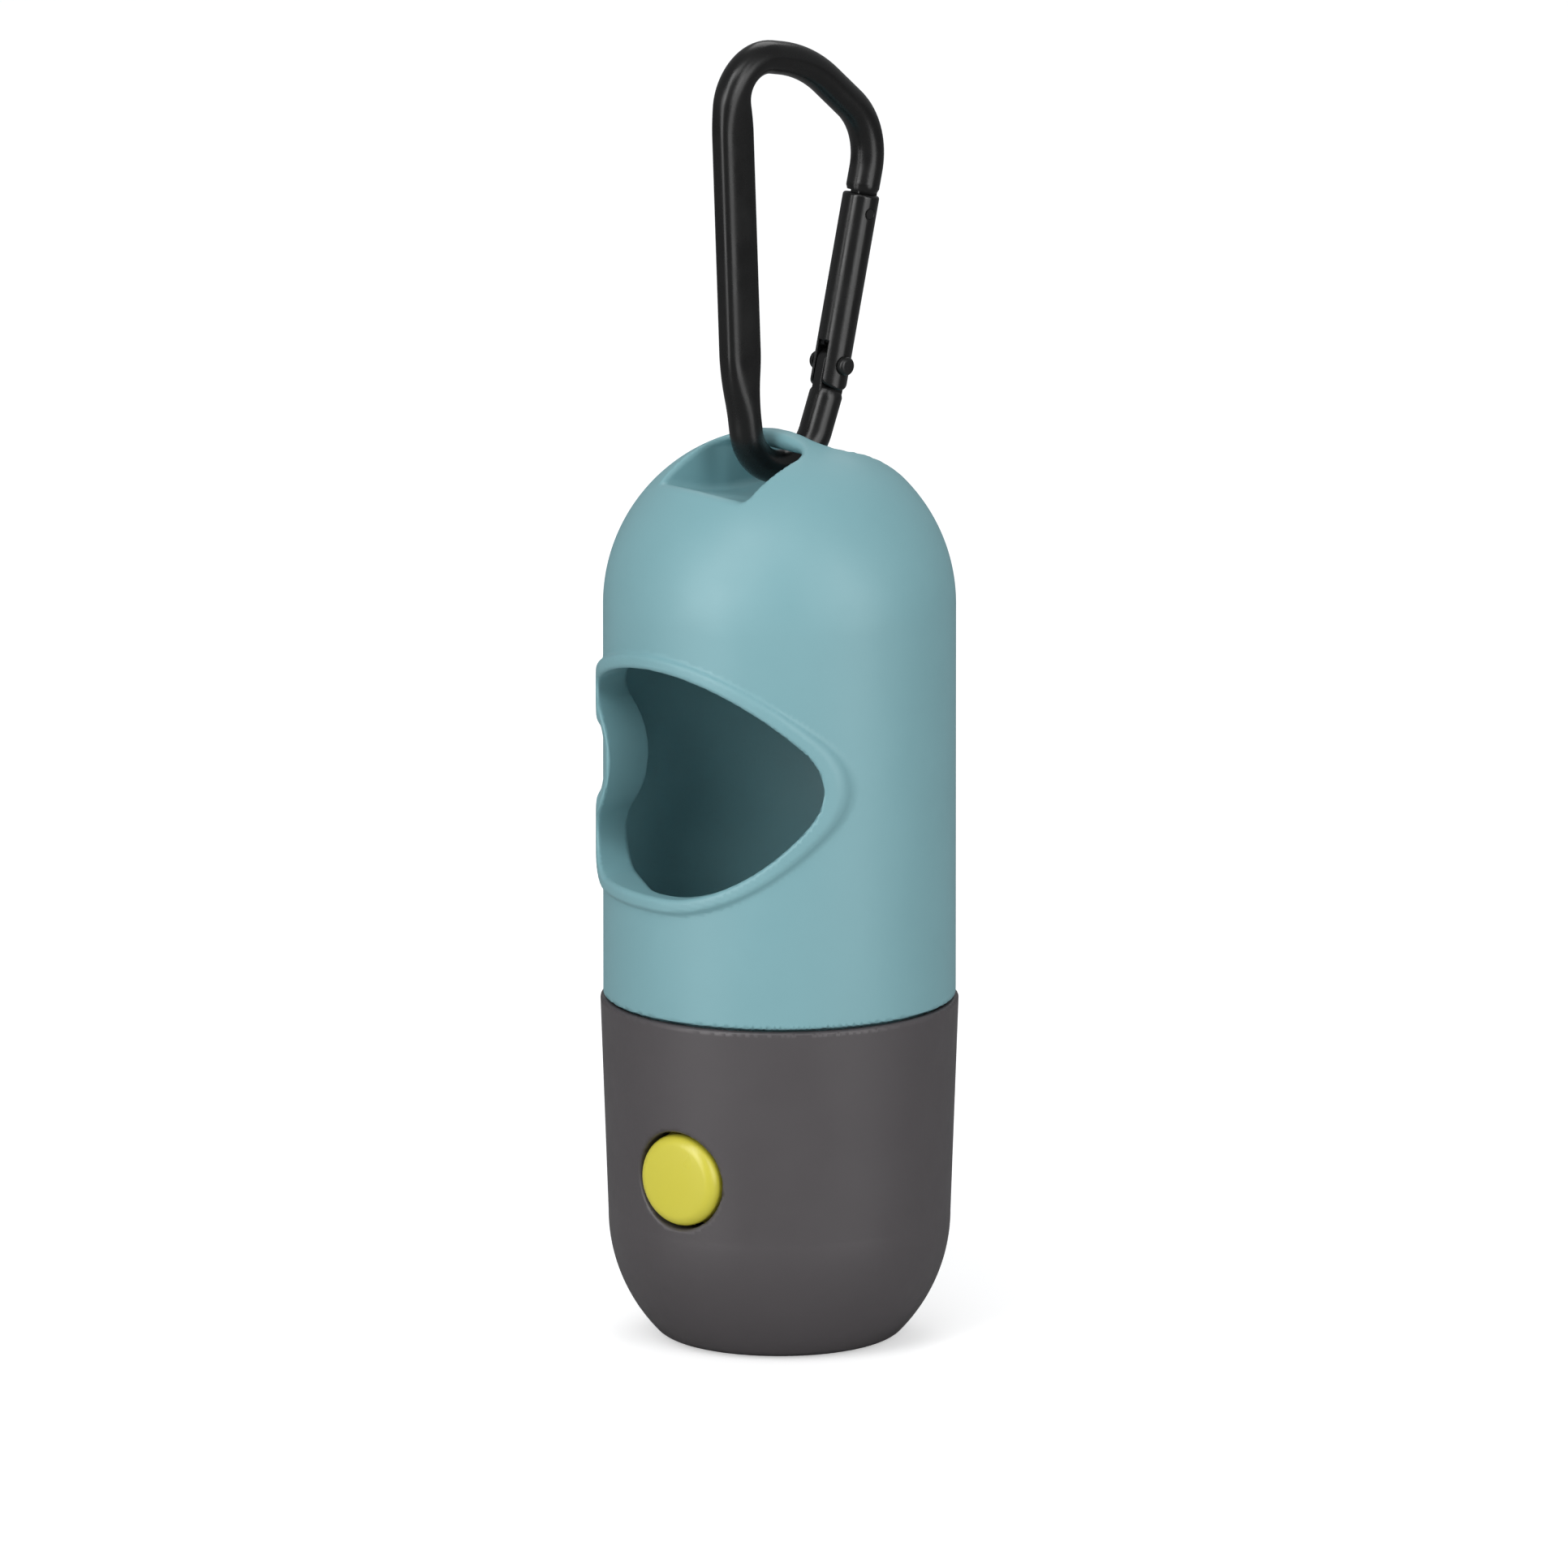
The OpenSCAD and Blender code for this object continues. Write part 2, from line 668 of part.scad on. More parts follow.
// Inner space of the cap, with the wider threaded bore above the cover's ledge.
module cap_inside() {
    intersection() {
        translate([0, 0, cap_round_z]) sphere(r = cap_bore_r);
        translate([0, 0, cap_floor]) cylinder(r = far, h = cap_round_z - cap_floor);
    }
    translate([0, 0, cap_round_z]) cylinder(r = cap_bore_r, h = far);
    translate([0, 0, cover_bottom]) cylinder(r = bore_r, h = far);
}

// Slot across the two front posts that holds the circuit board.
module board_groove() {
    slot_w = board_w + 2 * groove_gap;
    slot_t = board_t + 2 * groove_gap;
    translate([-slot_w / 2, -board_y - slot_t / 2, board_bottom])
        cube([slot_w, slot_t, far]);
}

// Lens: a clear disc that fills the light window, with a flange inside the floor.
module lens() {
    color(clear) {
        translate([0, 0, window_recess]) cylinder(r = window_r, h = lens_top - window_recess);
        translate([0, 0, lens_z]) cylinder(r = lens_r, h = lens_t);
    }
}

// Reflector: a bright cup round the lamp, standing on the lens.
module reflector() {
    mouth_r = reflector_r - reflector_wall;
    cup_top_r = lamp_hole_r + 0.8;
    rim_t = 1;
    color(chrome) translate([0, 0, reflector_z]) difference() {
        cylinder(r = reflector_r, h = reflector_h);
        translate([0, 0, -eps]) cylinder(r1 = mouth_r, r2 = cup_top_r, h = reflector_h - rim_t);
        cylinder(r = lamp_hole_r, h = reflector_h + 1);
        difference() {
            translate([0, 0, rim_t]) cylinder(r = far, h = reflector_h);
            translate([0, 0, rim_t])
                cylinder(r1 = reflector_r, r2 = cup_top_r + 1.5 * reflector_wall, h = reflector_h);
        }
    }
}

// Lamp: a round-nosed light with its nose down in the reflector.
module led_lamp() {
    color(white) in_cap() {
        translate([0, 0, lamp_tip_z + lamp_r]) intersection() {
            sphere(r = lamp_r);
            translate([0, 0, -far]) cylinder(r = far, h = far);
        }
        translate([0, 0, lamp_tip_z + lamp_r]) cylinder(r = lamp_r, h = lamp_l - lamp_r);
        translate([0, 0, lamp_back - lamp_flange_t]) cylinder(r = lamp_flange_r, h = lamp_flange_t);
    }
}

// Leads: two tinned legs bent from the lamp's back to the circuit board.
module led_leads() {
    color(steel) in_cap() for (x = [-lead_at, lead_at]) {
        translate([x - lead_w / 2, -lead_w / 2, lamp_back]) cube([lead_w, lead_w, lead_z - lamp_back]);
        translate([x - lead_w / 2, -board_back, lead_z - lead_w])
            cube([lead_w, board_back, lead_w]);
    }
}

// Circuit board: an upright plate that carries the switch and the lamp.
module circuit_board() {
    corner_r = 2.5;
    color(board_green) in_cap() difference() {
        translate([-board_w / 2, -board_front, board_bottom])
            cube([board_w, board_t, board_top - board_bottom]);
        for (x = [-1, 1])
            translate([x * board_w / 2, 0, board_bottom]) rotate([90, 0, 0])
                cylinder(r = corner_r, h = far);
    }
}

// Resistor: a small part with end caps on the back of the board.
module resistor() {
    length = 3.2;
    width = 1.6;
    thick = 0.6;
    at_x = 5;
    above_leads = 6;
    color(black) in_cap() translate([at_x, -board_back, lead_z + above_leads])
        cube([length, thick, width]);
}

// Switch body: a square block on the front of the board.
module switch_body() {
    color(black) in_cap() translate([0, 0, button_z]) difference() {
        translate([-switch_w / 2, -switch_front + cover_plate_t, -switch_w / 2])
            cube([switch_w, switch_t - cover_plate_t, switch_w]);
        rod_y(plunger_r + pin_gap, switch_front - plunger_sink - button_travel - plunger_room, far);
    }
}

// Switch cover: the thin steel plate over the switch's body.
module switch_cover() {
    color(steel) in_cap() translate([0, 0, button_z]) difference() {
        translate([-switch_w / 2, -switch_front, -switch_w / 2])
            cube([switch_w, cover_plate_t, switch_w]);
        rod_y(plunger_r + pin_gap, 0, far);
    }
}

// Switch plunger: the round key that the button pushes.
module switch_plunger() {
    color(brown) in_cap() translate([0, 0, button_z])
        rod_y(plunger_r, switch_front - plunger_sink, plunger_front);
}

// Push button: a domed disc with a flange inside the cap and a stem to the switch.
module push_button() {
    flange_half_h = flange_r - 0.8;
    dome_r = (pow(button_r, 2) + pow(button_dome, 2)) / (2 * button_dome);
    color(yellow) in_cap() translate([0, 0, button_z]) {
        intersection() {
            rod_y(button_r, flange_face - eps, button_edge + button_dome);
            translate([0, -(button_edge + button_dome - dome_r), 0]) sphere(r = dome_r);
        }
        intersection() {
            rod_y(flange_r, flange_back, flange_face);
            translate([-far, -far, -flange_half_h]) cube([2 * far, far, 2 * flange_half_h]);
        }
        rod_y(plunger_r, plunger_front, flange_back + eps);
    }
}

// Battery tray: a trough with end walls for the cells and their contacts.
module battery_tray() {
    color(grey) in_cap() difference() {
        intersection() {
            translate([tray_left - tray_wall, tray_front, tray_bottom])
                cube([tray_in_l + 2 * tray_wall, tray_in_w + 2 * tray_wall, tray_top - tray_bottom]);
            cylinder(r = cap_bore_r - tray_gap, h = far);
        }
        translate([tray_left, cell_y - tray_in_w / 2, cell_z])
            cube([tray_in_l, tray_in_w, far]);
        translate([tray_left, cell_y, cell_z]) rotate([0, 90, 0]) cylinder(d = tray_in_w, h = tray_in_l);
    }
}

// One button cell: the can with its smaller lid on the right.
module button_cell(index) {
    lid_t = 0.5;
    if (index <= cell_count)
        color(steel) in_cap() translate([stack_x + (index - 1) * cell_t, cell_y, cell_z])
            rotate([0, 90, 0]) {
                cylinder(d = cell_d, h = cell_t - lid_t);
                cylinder(d = cell_d - 2, h = cell_t);
            }
}

module button_cell_1() { button_cell(1); }
module button_cell_2() { button_cell(2); }
module button_cell_3() { button_cell(3); }

// Contact spring: a wire cone that presses the stack from the left.
module contact_spring() {
    curls = 3;
    per_curl = 12;
    wire_r = contact_wire_d / 2;
    run = contact_spring_l - 2 * wire_r - 2 * play;
    wide_r = cell_r - 1.6;
    narrow_r = wide_r / 2;
    rings = [for (i = [0 : curls * per_curl])
        let (share = i / (curls * per_curl),
             turn_r = wide_r + (narrow_r - wide_r) * share,
             angle = i * 360 / per_curl,
             x = tray_left + plate_t + wire_r + play + run * share)
        [for (k = [0 : 5])
            let (side = k * 60, reach = turn_r + wire_r * cos(side))
            [x + wire_r * sin(side), cell_y + reach * cos(angle), cell_z - reach * sin(angle)]]];
    color(steel) in_cap() swept(rings);
}

// A contact strip: a plate at one end of the stack, with an arm over the tray's
// front wall to the circuit board.
module contact_strip(x) {
    plate_h = 6;
    arm_h = 1.3;
    color(steel) in_cap() {
        translate([x, cell_y - cell_r, tray_top - plate_h / 2]) cube([plate_t, cell_d, plate_h]);
        translate([x, -board_back, tray_top + tray_gap]) cube([plate_t, cell_y + board_back, arm_h]);
    }
}

module spring_strip() { contact_strip(tray_left); }
module contact_plate() { contact_strip(stack_right); }

// Inner cover: the disc over the electronics, which is the floor of the bag chamber.
module inner_cover() {
    color(grey) in_cap() difference() {
        translate([0, 0, cover_bottom]) cylinder(r = cover_r, h = cover_t);
        for (angle = post_angles)
            rotate([0, 0, angle]) translate([post_at, 0, 0]) {
                cylinder(r = screw_d / 2 + screw_fit, h = far);
                translate([0, 0, cover_top - screw_head_t])
                    cylinder(r = screw_head_d / 2 + 2 * play, h = far);
            }
    }
}

// Cover screws: three small screws with a cross slot, sunk in the inner cover.
module cover_screws() {
    slot_l = 0.6 * screw_head_d;
    slot_w = 0.4;
    slot_t = 0.5;
    color(steel) in_cap() for (angle = post_angles)
        rotate([0, 0, angle]) translate([post_at, 0, cover_top]) difference() {
            union() {
                translate([0, 0, -screw_head_t]) cylinder(d = screw_head_d, h = screw_head_t);
                translate([0, 0, -screw_head_t - screw_l]) cylinder(d = screw_d, h = screw_l + slot_t);
            }
            for (turn = [0, 90])
                rotate([0, 0, turn]) translate([-slot_l / 2, -slot_w / 2, -slot_t])
                    cube([slot_l, slot_w, 2 * slot_t]);
        }
}

// A point where the bar's middle line turns, drawn as an arc of the radius given.
function corner_arc(before, at, after, radius) =
    let (a = (before - at) / norm(before - at),
         b = (after - at) / norm(after - at),
         half = acos(a * b) / 2,
         centre = at + (a + b) / norm(a + b) * radius / sin(half),
         first = at + a * radius / tan(half),
         last = at + b * radius / tan(half),
         from = atan2(first[1] - centre[1], first[0] - centre[0]),
         sweep = (atan2(last[1] - centre[1], last[0] - centre[0]) - from + 540) % 360 - 180,
         steps = max(2, ceil(abs(sweep) / bend_step)))
    [for (i = [0 : steps])
        let (angle = from + sweep * i / steps)
        centre + radius * [cos(angle), sin(angle)]];

// The bar's middle line from the nose round to the hinge pin.
bar_path = concat(
    [nose],
    [for (i = [1 : len(corners) - 2])
        for (p = corner_arc(corners[i - 1], corners[i], corners[i + 1], corner_r[i])) p],
    [for (a = [180 + lean_in : bend_step : 360 - lean_out])
        [bend_u + bend_r * cos(a), bend_z + bend_r * sin(a)]],
    [[bend_u + bend_r * cos(lean_out), bend_z - bend_r * sin(lean_out)],
     pivot - (gate_foot + foot_gap) * up]);

// Share of flattening along the spine, from 0 on the round bar to 1.
function flat_share(p) =
    p[0] > 0 ? 0 : max(0, min(1, (p[1] - spine_low) / press_l, (spine_high - p[1]) / press_l));

// Section of the bar at a point of its path: a rounded shape that is wider in the
// plane of the loop where the spine is pressed flat.
function bar_ring(i) =
    let (last = len(bar_path) - 1,
         p = bar_path[i],
         back = bar_path[max(0, i - 1)],
         ahead = bar_path[min(last, i + 1)],
         dir = (ahead - back) / norm(ahead - back),
         side = [-dir[1], dir[0]],
         flat = flat_share(p),
         half_w = bar_r + (spine_w / 2 - bar_r) * flat,
         half_t = bar_r + (spine_t / 2 - bar_r) * flat,
         power = 1 - press_square * flat)
    [for (k = [0 : bar_sides - 1])
        let (angle = k * 360 / bar_sides,
             c = sign(cos(angle)) * pow(abs(cos(angle)), power),
             s = sign(sin(angle)) * pow(abs(sin(angle)), power))
        [p[0] + side[0] * half_w * c, p[1] + side[1] * half_w * c, half_t * s]];

// Carabiner frame: the bent bar, with a tongue for the hinge pin at its foot and a
// hooked tongue at its nose.
module carabiner_frame() {
    nose_l = tongue_l + nose_gap + nose_hold;
    inner = gate_bore_d / 2 - 2 * play;
    color(black) difference() {
        union() {
            in_loop() swept([for (i = [0 : len(bar_path) - 1]) bar_ring(i)]);
            on_gate() {
                translate([-tongue_r, -gate_foot - nose_hold, -tongue_t / 2])
                    cube([2 * tongue_r, gate_foot + nose_hold, tongue_t]);
                translate([0, 0, -tongue_t / 2]) cylinder(r = tongue_r, h = tongue_t);
                translate([-inner, gate_l - tongue_l, -tongue_t / 2])
                    cube([inner + tongue_r, nose_l, tongue_t]);
            }
        }
        on_gate() {
            translate([0, 0, -gate_r]) cylinder(r = pin_d / 2 + pin_gap, h = gate_d);
            translate([0, latch_at, -gate_r]) cylinder(d = hook_w, h = gate_d);
            translate([-gate_r, latch_at - hook_w / 2, -gate_r])
                cube([gate_r, hook_w + nose_gap, gate_d]);
        }
    }
}

// Hinge pin: the rivet through the gate and the frame's tongue.
module hinge_pin() {
    head_t = (pin_l - gate_d) / 2 - head_gap;
    color(black) on_gate() {
        translate([0, 0, -gate_r - head_gap - head_t / 2])
            cylinder(d = pin_d, h = gate_d + 2 * head_gap + head_t);
        for (low = [gate_r + head_gap, -gate_r - head_gap - head_t])
            translate([0, 0, low]) cylinder(d = pin_head_d, h = head_t);
    }
}

// Gate: a round bar with its foot rounded about the hinge pin, bored for its spring
// and slotted at both ends. The top slot is open outwards, away from the loop.
module gate_tube() {
    color(black) on_gate() difference() {
        intersection() {
            translate([0, -gate_foot, 0]) rotate([-90, 0, 0])
                cylinder(r = gate_r, h = gate_l + gate_foot);
            union() {
                translate([0, 0, -gate_d]) cylinder(r = gate_foot, h = 2 * gate_d);
                translate([-gate_d, 0, -gate_d]) cube([2 * gate_d, gate_l + 1, 2 * gate_d]);
            }
        }
        translate([0, gate_r, 0]) rotate([-90, 0, 0]) cylinder(d = gate_bore_d, h = gate_l);
        translate([-gate_d, -gate_d, -gate_slot_w / 2])
            cube([2 * gate_d, gate_d + slot_low_l, gate_slot_w]);
        translate([-gate_r + 0.5, gate_l - slot_top_l, -gate_slot_w / 2])
            cube([2 * gate_d, slot_top_l + 1, gate_slot_w]);
        translate([0, 0, -gate_d]) cylinder(r = pin_d / 2 + pin_gap, h = 2 * gate_d);
        translate([0, latch_at, -gate_d]) cylinder(r = latch_d / 2 + head_gap, h = 2 * gate_d);
    }
}

// Latch pin: the cross pin at the gate's top that sits in the nose's hook.
module latch_pin() {
    half_l = gate_r - 2 * play;
    color(steel) on_gate() translate([0, latch_at, -half_l]) cylinder(d = latch_d, h = 2 * half_l);
}

// Gate plunger: the little pusher between the spring and the frame's tongue.
module gate_plunger() {
    head_t = 0.8;
    color(steel) on_gate() rotate([-90, 0, 0]) {
        translate([0, 0, tongue_r + 2 * play])
            cylinder(d = gate_slot_w - 6 * play, h = plunger_head - tongue_r - 3 * play);
        translate([0, 0, plunger_head - head_t]) cylinder(d = gate_bore_d - 6 * play, h = head_t);
    }
}

// Gate spring: a wire coil in the gate's bore that keeps the gate shut.
module gate_spring() {
    wire_r = 0.2;
    coil_r = gate_bore_d / 2 - wire_r - 2 * play;
    curls = 9;
    per_curl = 8;
    low = plunger_head + wire_r + play;
    high = gate_l - slot_top_l - wire_r - 2 * play;
    rings = [for (i = [0 : curls * per_curl])
        let (y = low + (high - low) * i / (curls * per_curl), angle = i * 360 / per_curl)
        [for (k = [0 : 5])
            let (side = k * 60, reach = coil_r + wire_r * cos(side))
            [reach * cos(angle), y + wire_r * sin(side), -reach * sin(angle)]]];
    color(steel) on_gate() swept(rings);
}

upper_housing();
cap_shell();
lens();
reflector();
led_lamp();
led_leads();
circuit_board();
resistor();
switch_body();
switch_cover();
switch_plunger();
push_button();
battery_tray();
button_cell_1();
button_cell_2();
button_cell_3();
contact_spring();
spring_strip();
contact_plate();
inner_cover();
cover_screws();
carabiner_frame();
hinge_pin();
gate_tube();
latch_pin();
gate_plunger();
gate_spring();
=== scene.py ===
import math

import bpy
import numpy as np
from mathutils import Matrix, Vector


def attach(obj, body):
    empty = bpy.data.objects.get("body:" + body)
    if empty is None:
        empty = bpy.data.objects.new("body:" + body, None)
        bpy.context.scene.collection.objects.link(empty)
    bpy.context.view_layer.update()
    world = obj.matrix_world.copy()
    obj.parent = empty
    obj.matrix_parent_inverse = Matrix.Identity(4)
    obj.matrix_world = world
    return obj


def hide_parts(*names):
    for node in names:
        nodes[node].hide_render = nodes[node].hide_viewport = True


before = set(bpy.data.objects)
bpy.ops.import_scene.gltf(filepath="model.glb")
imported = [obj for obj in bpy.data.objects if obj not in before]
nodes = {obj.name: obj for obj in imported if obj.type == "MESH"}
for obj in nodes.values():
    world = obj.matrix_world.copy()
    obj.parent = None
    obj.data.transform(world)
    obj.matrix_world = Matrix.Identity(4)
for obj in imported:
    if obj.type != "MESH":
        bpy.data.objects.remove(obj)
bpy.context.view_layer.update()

scene = bpy.context.scene

# ---------------------------------------------------------------- camera
# The view is from a little above and to the right of the mouth, from far away, so
# that upright edges stay parallel.
view_turn = math.radians(37)
view_rise = math.radians(12.5)
view_far = 5.0
view_width = 0.1866
aim_right, aim_height = 0.00053, 0.06698
film_width = 36
looked_at = Vector((aim_right * math.cos(view_turn), aim_right * math.sin(view_turn), aim_height))

towards = Vector((math.sin(view_turn) * math.cos(view_rise),
                  -math.cos(view_turn) * math.cos(view_rise),
                  math.sin(view_rise)))
camera_data = bpy.data.cameras.new("camera")
camera_data.sensor_width = film_width
camera_data.lens = film_width * view_far / view_width
camera_data.clip_end = 8 * view_far
camera = bpy.data.objects.new("camera", camera_data)
camera.location = looked_at + towards * view_far
camera.rotation_euler = (-towards).to_track_quat("-Z", "Y").to_euler()
scene.collection.objects.link(camera)
scene.camera = camera

# ---------------------------------------------------------------- studio
# A white sheet of paper in a pale room, both darker in reflections so that the bar stays
# black. Soft boxes light the capsule from both sides, from behind and from above, and two
# low strips, which give highlights only, draw the pair of long lights down each bar.
room_strength, room_gloss_loss = 0.5, 0.2
paper_half, paper_lift = 6.0, 0.5
lamp_aim = Vector((0, 0, 0.08))


def linear(colour):
    """Turns an sRGB hex colour into the linear values that a shader takes."""
    parts = [int(colour[i:i + 2], 16) / 255 for i in (1, 3, 5)]
    return [c / 12.92 if c <= 0.04045 else ((c + 0.055) / 1.055) ** 2.4 for c in parts] + [1.0]


def add(tree, kind, settings=None, **inputs):
    """Adds a node with its settings. An input is a value or the socket that feeds it."""
    made = tree.nodes.new(kind)
    for name, value in (settings or {}).items():
        setattr(made, name, value)
    for name, value in inputs.items():
        key = int(name[1:]) if name[0] == "i" and name[1:].isdigit() else name.replace("_", " ")
        socket = made.inputs[key]
        if isinstance(value, bpy.types.NodeSocket):
            tree.links.new(value, socket)
        else:
            socket.default_value = value
    return made


scene.view_settings.view_transform = "Standard"

world = bpy.data.worlds.new("room")
world.use_nodes = True
world.node_tree.nodes.clear()
light_path = add(world.node_tree, "ShaderNodeLightPath")
seen = add(world.node_tree, "ShaderNodeMath", {"operation": "MAXIMUM"},
           i0=light_path.outputs["Is Camera Ray"], i1=light_path.outputs["Is Transmission Ray"])
dimmed = add(world.node_tree, "ShaderNodeMath", {"operation": "MULTIPLY_ADD"},
             i0=light_path.outputs["Is Glossy Ray"], i1=-room_gloss_loss, i2=room_strength)
room_light = add(world.node_tree, "ShaderNodeBackground", Color=linear("#F4F6F8"),
                 Strength=dimmed.outputs[0])
room_seen = add(world.node_tree, "ShaderNodeBackground", Color=(1, 1, 1, 1), Strength=1.0)
room_mix = add(world.node_tree, "ShaderNodeMixShader", i0=seen.outputs[0],
               i1=room_light.outputs[0], i2=room_seen.outputs[0])
add(world.node_tree, "ShaderNodeOutputWorld", Surface=room_mix.outputs[0])
scene.world = world

paper_mesh = bpy.data.meshes.new("paper")
paper_mesh.from_pydata([(-paper_half, -paper_half, 0), (paper_half, -paper_half, 0),
                        (paper_half, paper_half, 0), (-paper_half, paper_half, 0)],
                       [], [(0, 1, 2, 3)])
paper = bpy.data.objects.new("paper", paper_mesh)
scene.collection.objects.link(paper)
# Matt paper, which glows a little for the camera alone, so that it comes out white.
paper_look = bpy.data.materials.new("white_paper")
paper_look.use_nodes = True
paper_look.node_tree.nodes.clear()
matt = add(paper_look.node_tree, "ShaderNodeBsdfDiffuse", Color=linear("#E6E6E6"))
paper_path = add(paper_look.node_tree, "ShaderNodeLightPath")
camera_ray = paper_path.outputs["Is Camera Ray"]
paper_glow = add(paper_look.node_tree, "ShaderNodeEmission", Color=(1, 1, 1, 1),
                 Strength=add(paper_look.node_tree, "ShaderNodeMath", {"operation": "MULTIPLY"},
                              i0=camera_ray, i1=paper_lift).outputs[0])
paper_sum = add(paper_look.node_tree, "ShaderNodeAddShader",
                i0=matt.outputs[0], i1=paper_glow.outputs[0])
in_shade = add(paper_look.node_tree, "ShaderNodeBsdfDiffuse", Color=linear("#8A8A8A"))
paper_mix = add(paper_look.node_tree, "ShaderNodeMixShader", i0=paper_path.outputs["Is Glossy Ray"],
                i1=paper_sum.outputs[0], i2=in_shade.outputs[0])
add(paper_look.node_tree, "ShaderNodeOutputMaterial", Surface=paper_mix.outputs[0])
paper_mesh.materials.append(paper_look)

# Each lamp has its turn from the front and its rise in degrees, its distance, width and
# height in metres, and its power in watts.
for name, turn, rise, far, wide, tall, watts in (("left_box", 3, 36, 0.9, 0.3, 0.8, 3.3),
                                                 ("right_box", 71, 24, 0.9, 0.26, 0.75, 1.7),
                                                 ("back_box", 205, 50, 0.9, 0.5, 0.5, 1.4),
                                                 ("top_box", 34, 56, 0.9, 0.35, 0.35, 0.8),
                                                 ("left_strip", -13, 8, 0.35, 0.17, 0.3, 0.5),
                                                 ("right_strip", 87, 8, 0.35, 0.17, 0.3, 0.38)):
    lamp_data = bpy.data.lights.new(name, "AREA")
    lamp_data.shape = "RECTANGLE"
    lamp_data.size = wide
    lamp_data.size_y = tall
    lamp_data.energy = watts
    lamp = bpy.data.objects.new(name, lamp_data)
    away = Vector((math.sin(math.radians(turn)) * math.cos(math.radians(rise)),
                   -math.cos(math.radians(turn)) * math.cos(math.radians(rise)),
                   math.sin(math.radians(rise))))
    lamp.location = lamp_aim + away * far
    lamp.rotation_euler = (-away).to_track_quat("-Z", "Y").to_euler()
    lamp.visible_camera = False
    lamp.visible_diffuse = "strip" not in name
    scene.collection.objects.link(lamp)

# ---------------------------------------------------------------- upper housing
# The capsule's top half: one moulding in a soft blue-grey plastic, with a satin skin
# from a finely blasted mould. Its mouth has a raised lip, the notch in the mouth runs
# in as a guide, and the crown is pierced by a tunnel that leaves a thin bridge.
housing_r = 21.0
chamber_r = 19.0
dome_z = 89.0
shoulder_z = 41.65
neck_low = 34.0
neck_r = 19.15
neck_bore_r = 17.55
mouth_z = 70.6
tip_x, tip_r = 8.8, 7.9
lobe_reach, notch_reach = 16.9, 13.7
high_half = {"half_h": 13.4, "lobe_r": 2.2, "brow_r": 25, "brow_x": 3}
low_half = {"half_h": 14.0, "lobe_r": 4.4, "brow_r": 240, "brow_x": 2}
lip_w, lip_proud, lip_shift, lip_root = 1.8, 0.6, 0.7, 3
waist_x, waist_start_x, waist_half_h, waist_depth = -16, -8, 7, 0.55
neck_top = 50
cone_z = 43.1
guide_w = 1.6
guide_y = -7.3
guide_r = 20
guide_slant, guide_set = math.radians(41.5), 0.3
high_lobe_z, low_lobe_z = 7.96, 9.37
crown_turn = math.radians(11)
tunnel_half_w = 7.0
tunnel_floor = 102.0
tunnel_wall, block_low, cut_low = 1.8, 100.2, 95
floor_r = 35.0
bridge_under = 107.9
bridge_half_w = 1.4
bridge_spread = 3.0
thread_low = 35.46
thread_pitch = 4.0
thread_h = 0.8
thread_crest_half, thread_root, thread_fade = 0.6, 0.4, 10
flank_slope, flank_cos = 0.577, 0.866
skin_step = 0.45
nowhere = 99.0
arc_slack = 0.002


def both(a, b, edge=0.0):
    """Where two shapes overlap, with the edge between them rounded."""
    if edge == 0:
        return np.maximum(a, b)
    return (np.minimum(-edge, np.maximum(a, b))
            + np.hypot(np.maximum(a + edge, 0), np.maximum(b + edge, 0)))


def either(a, b, fillet=0.0):
    """Two shapes together, with a fillet between them."""
    return -both(-a, -b, fillet)


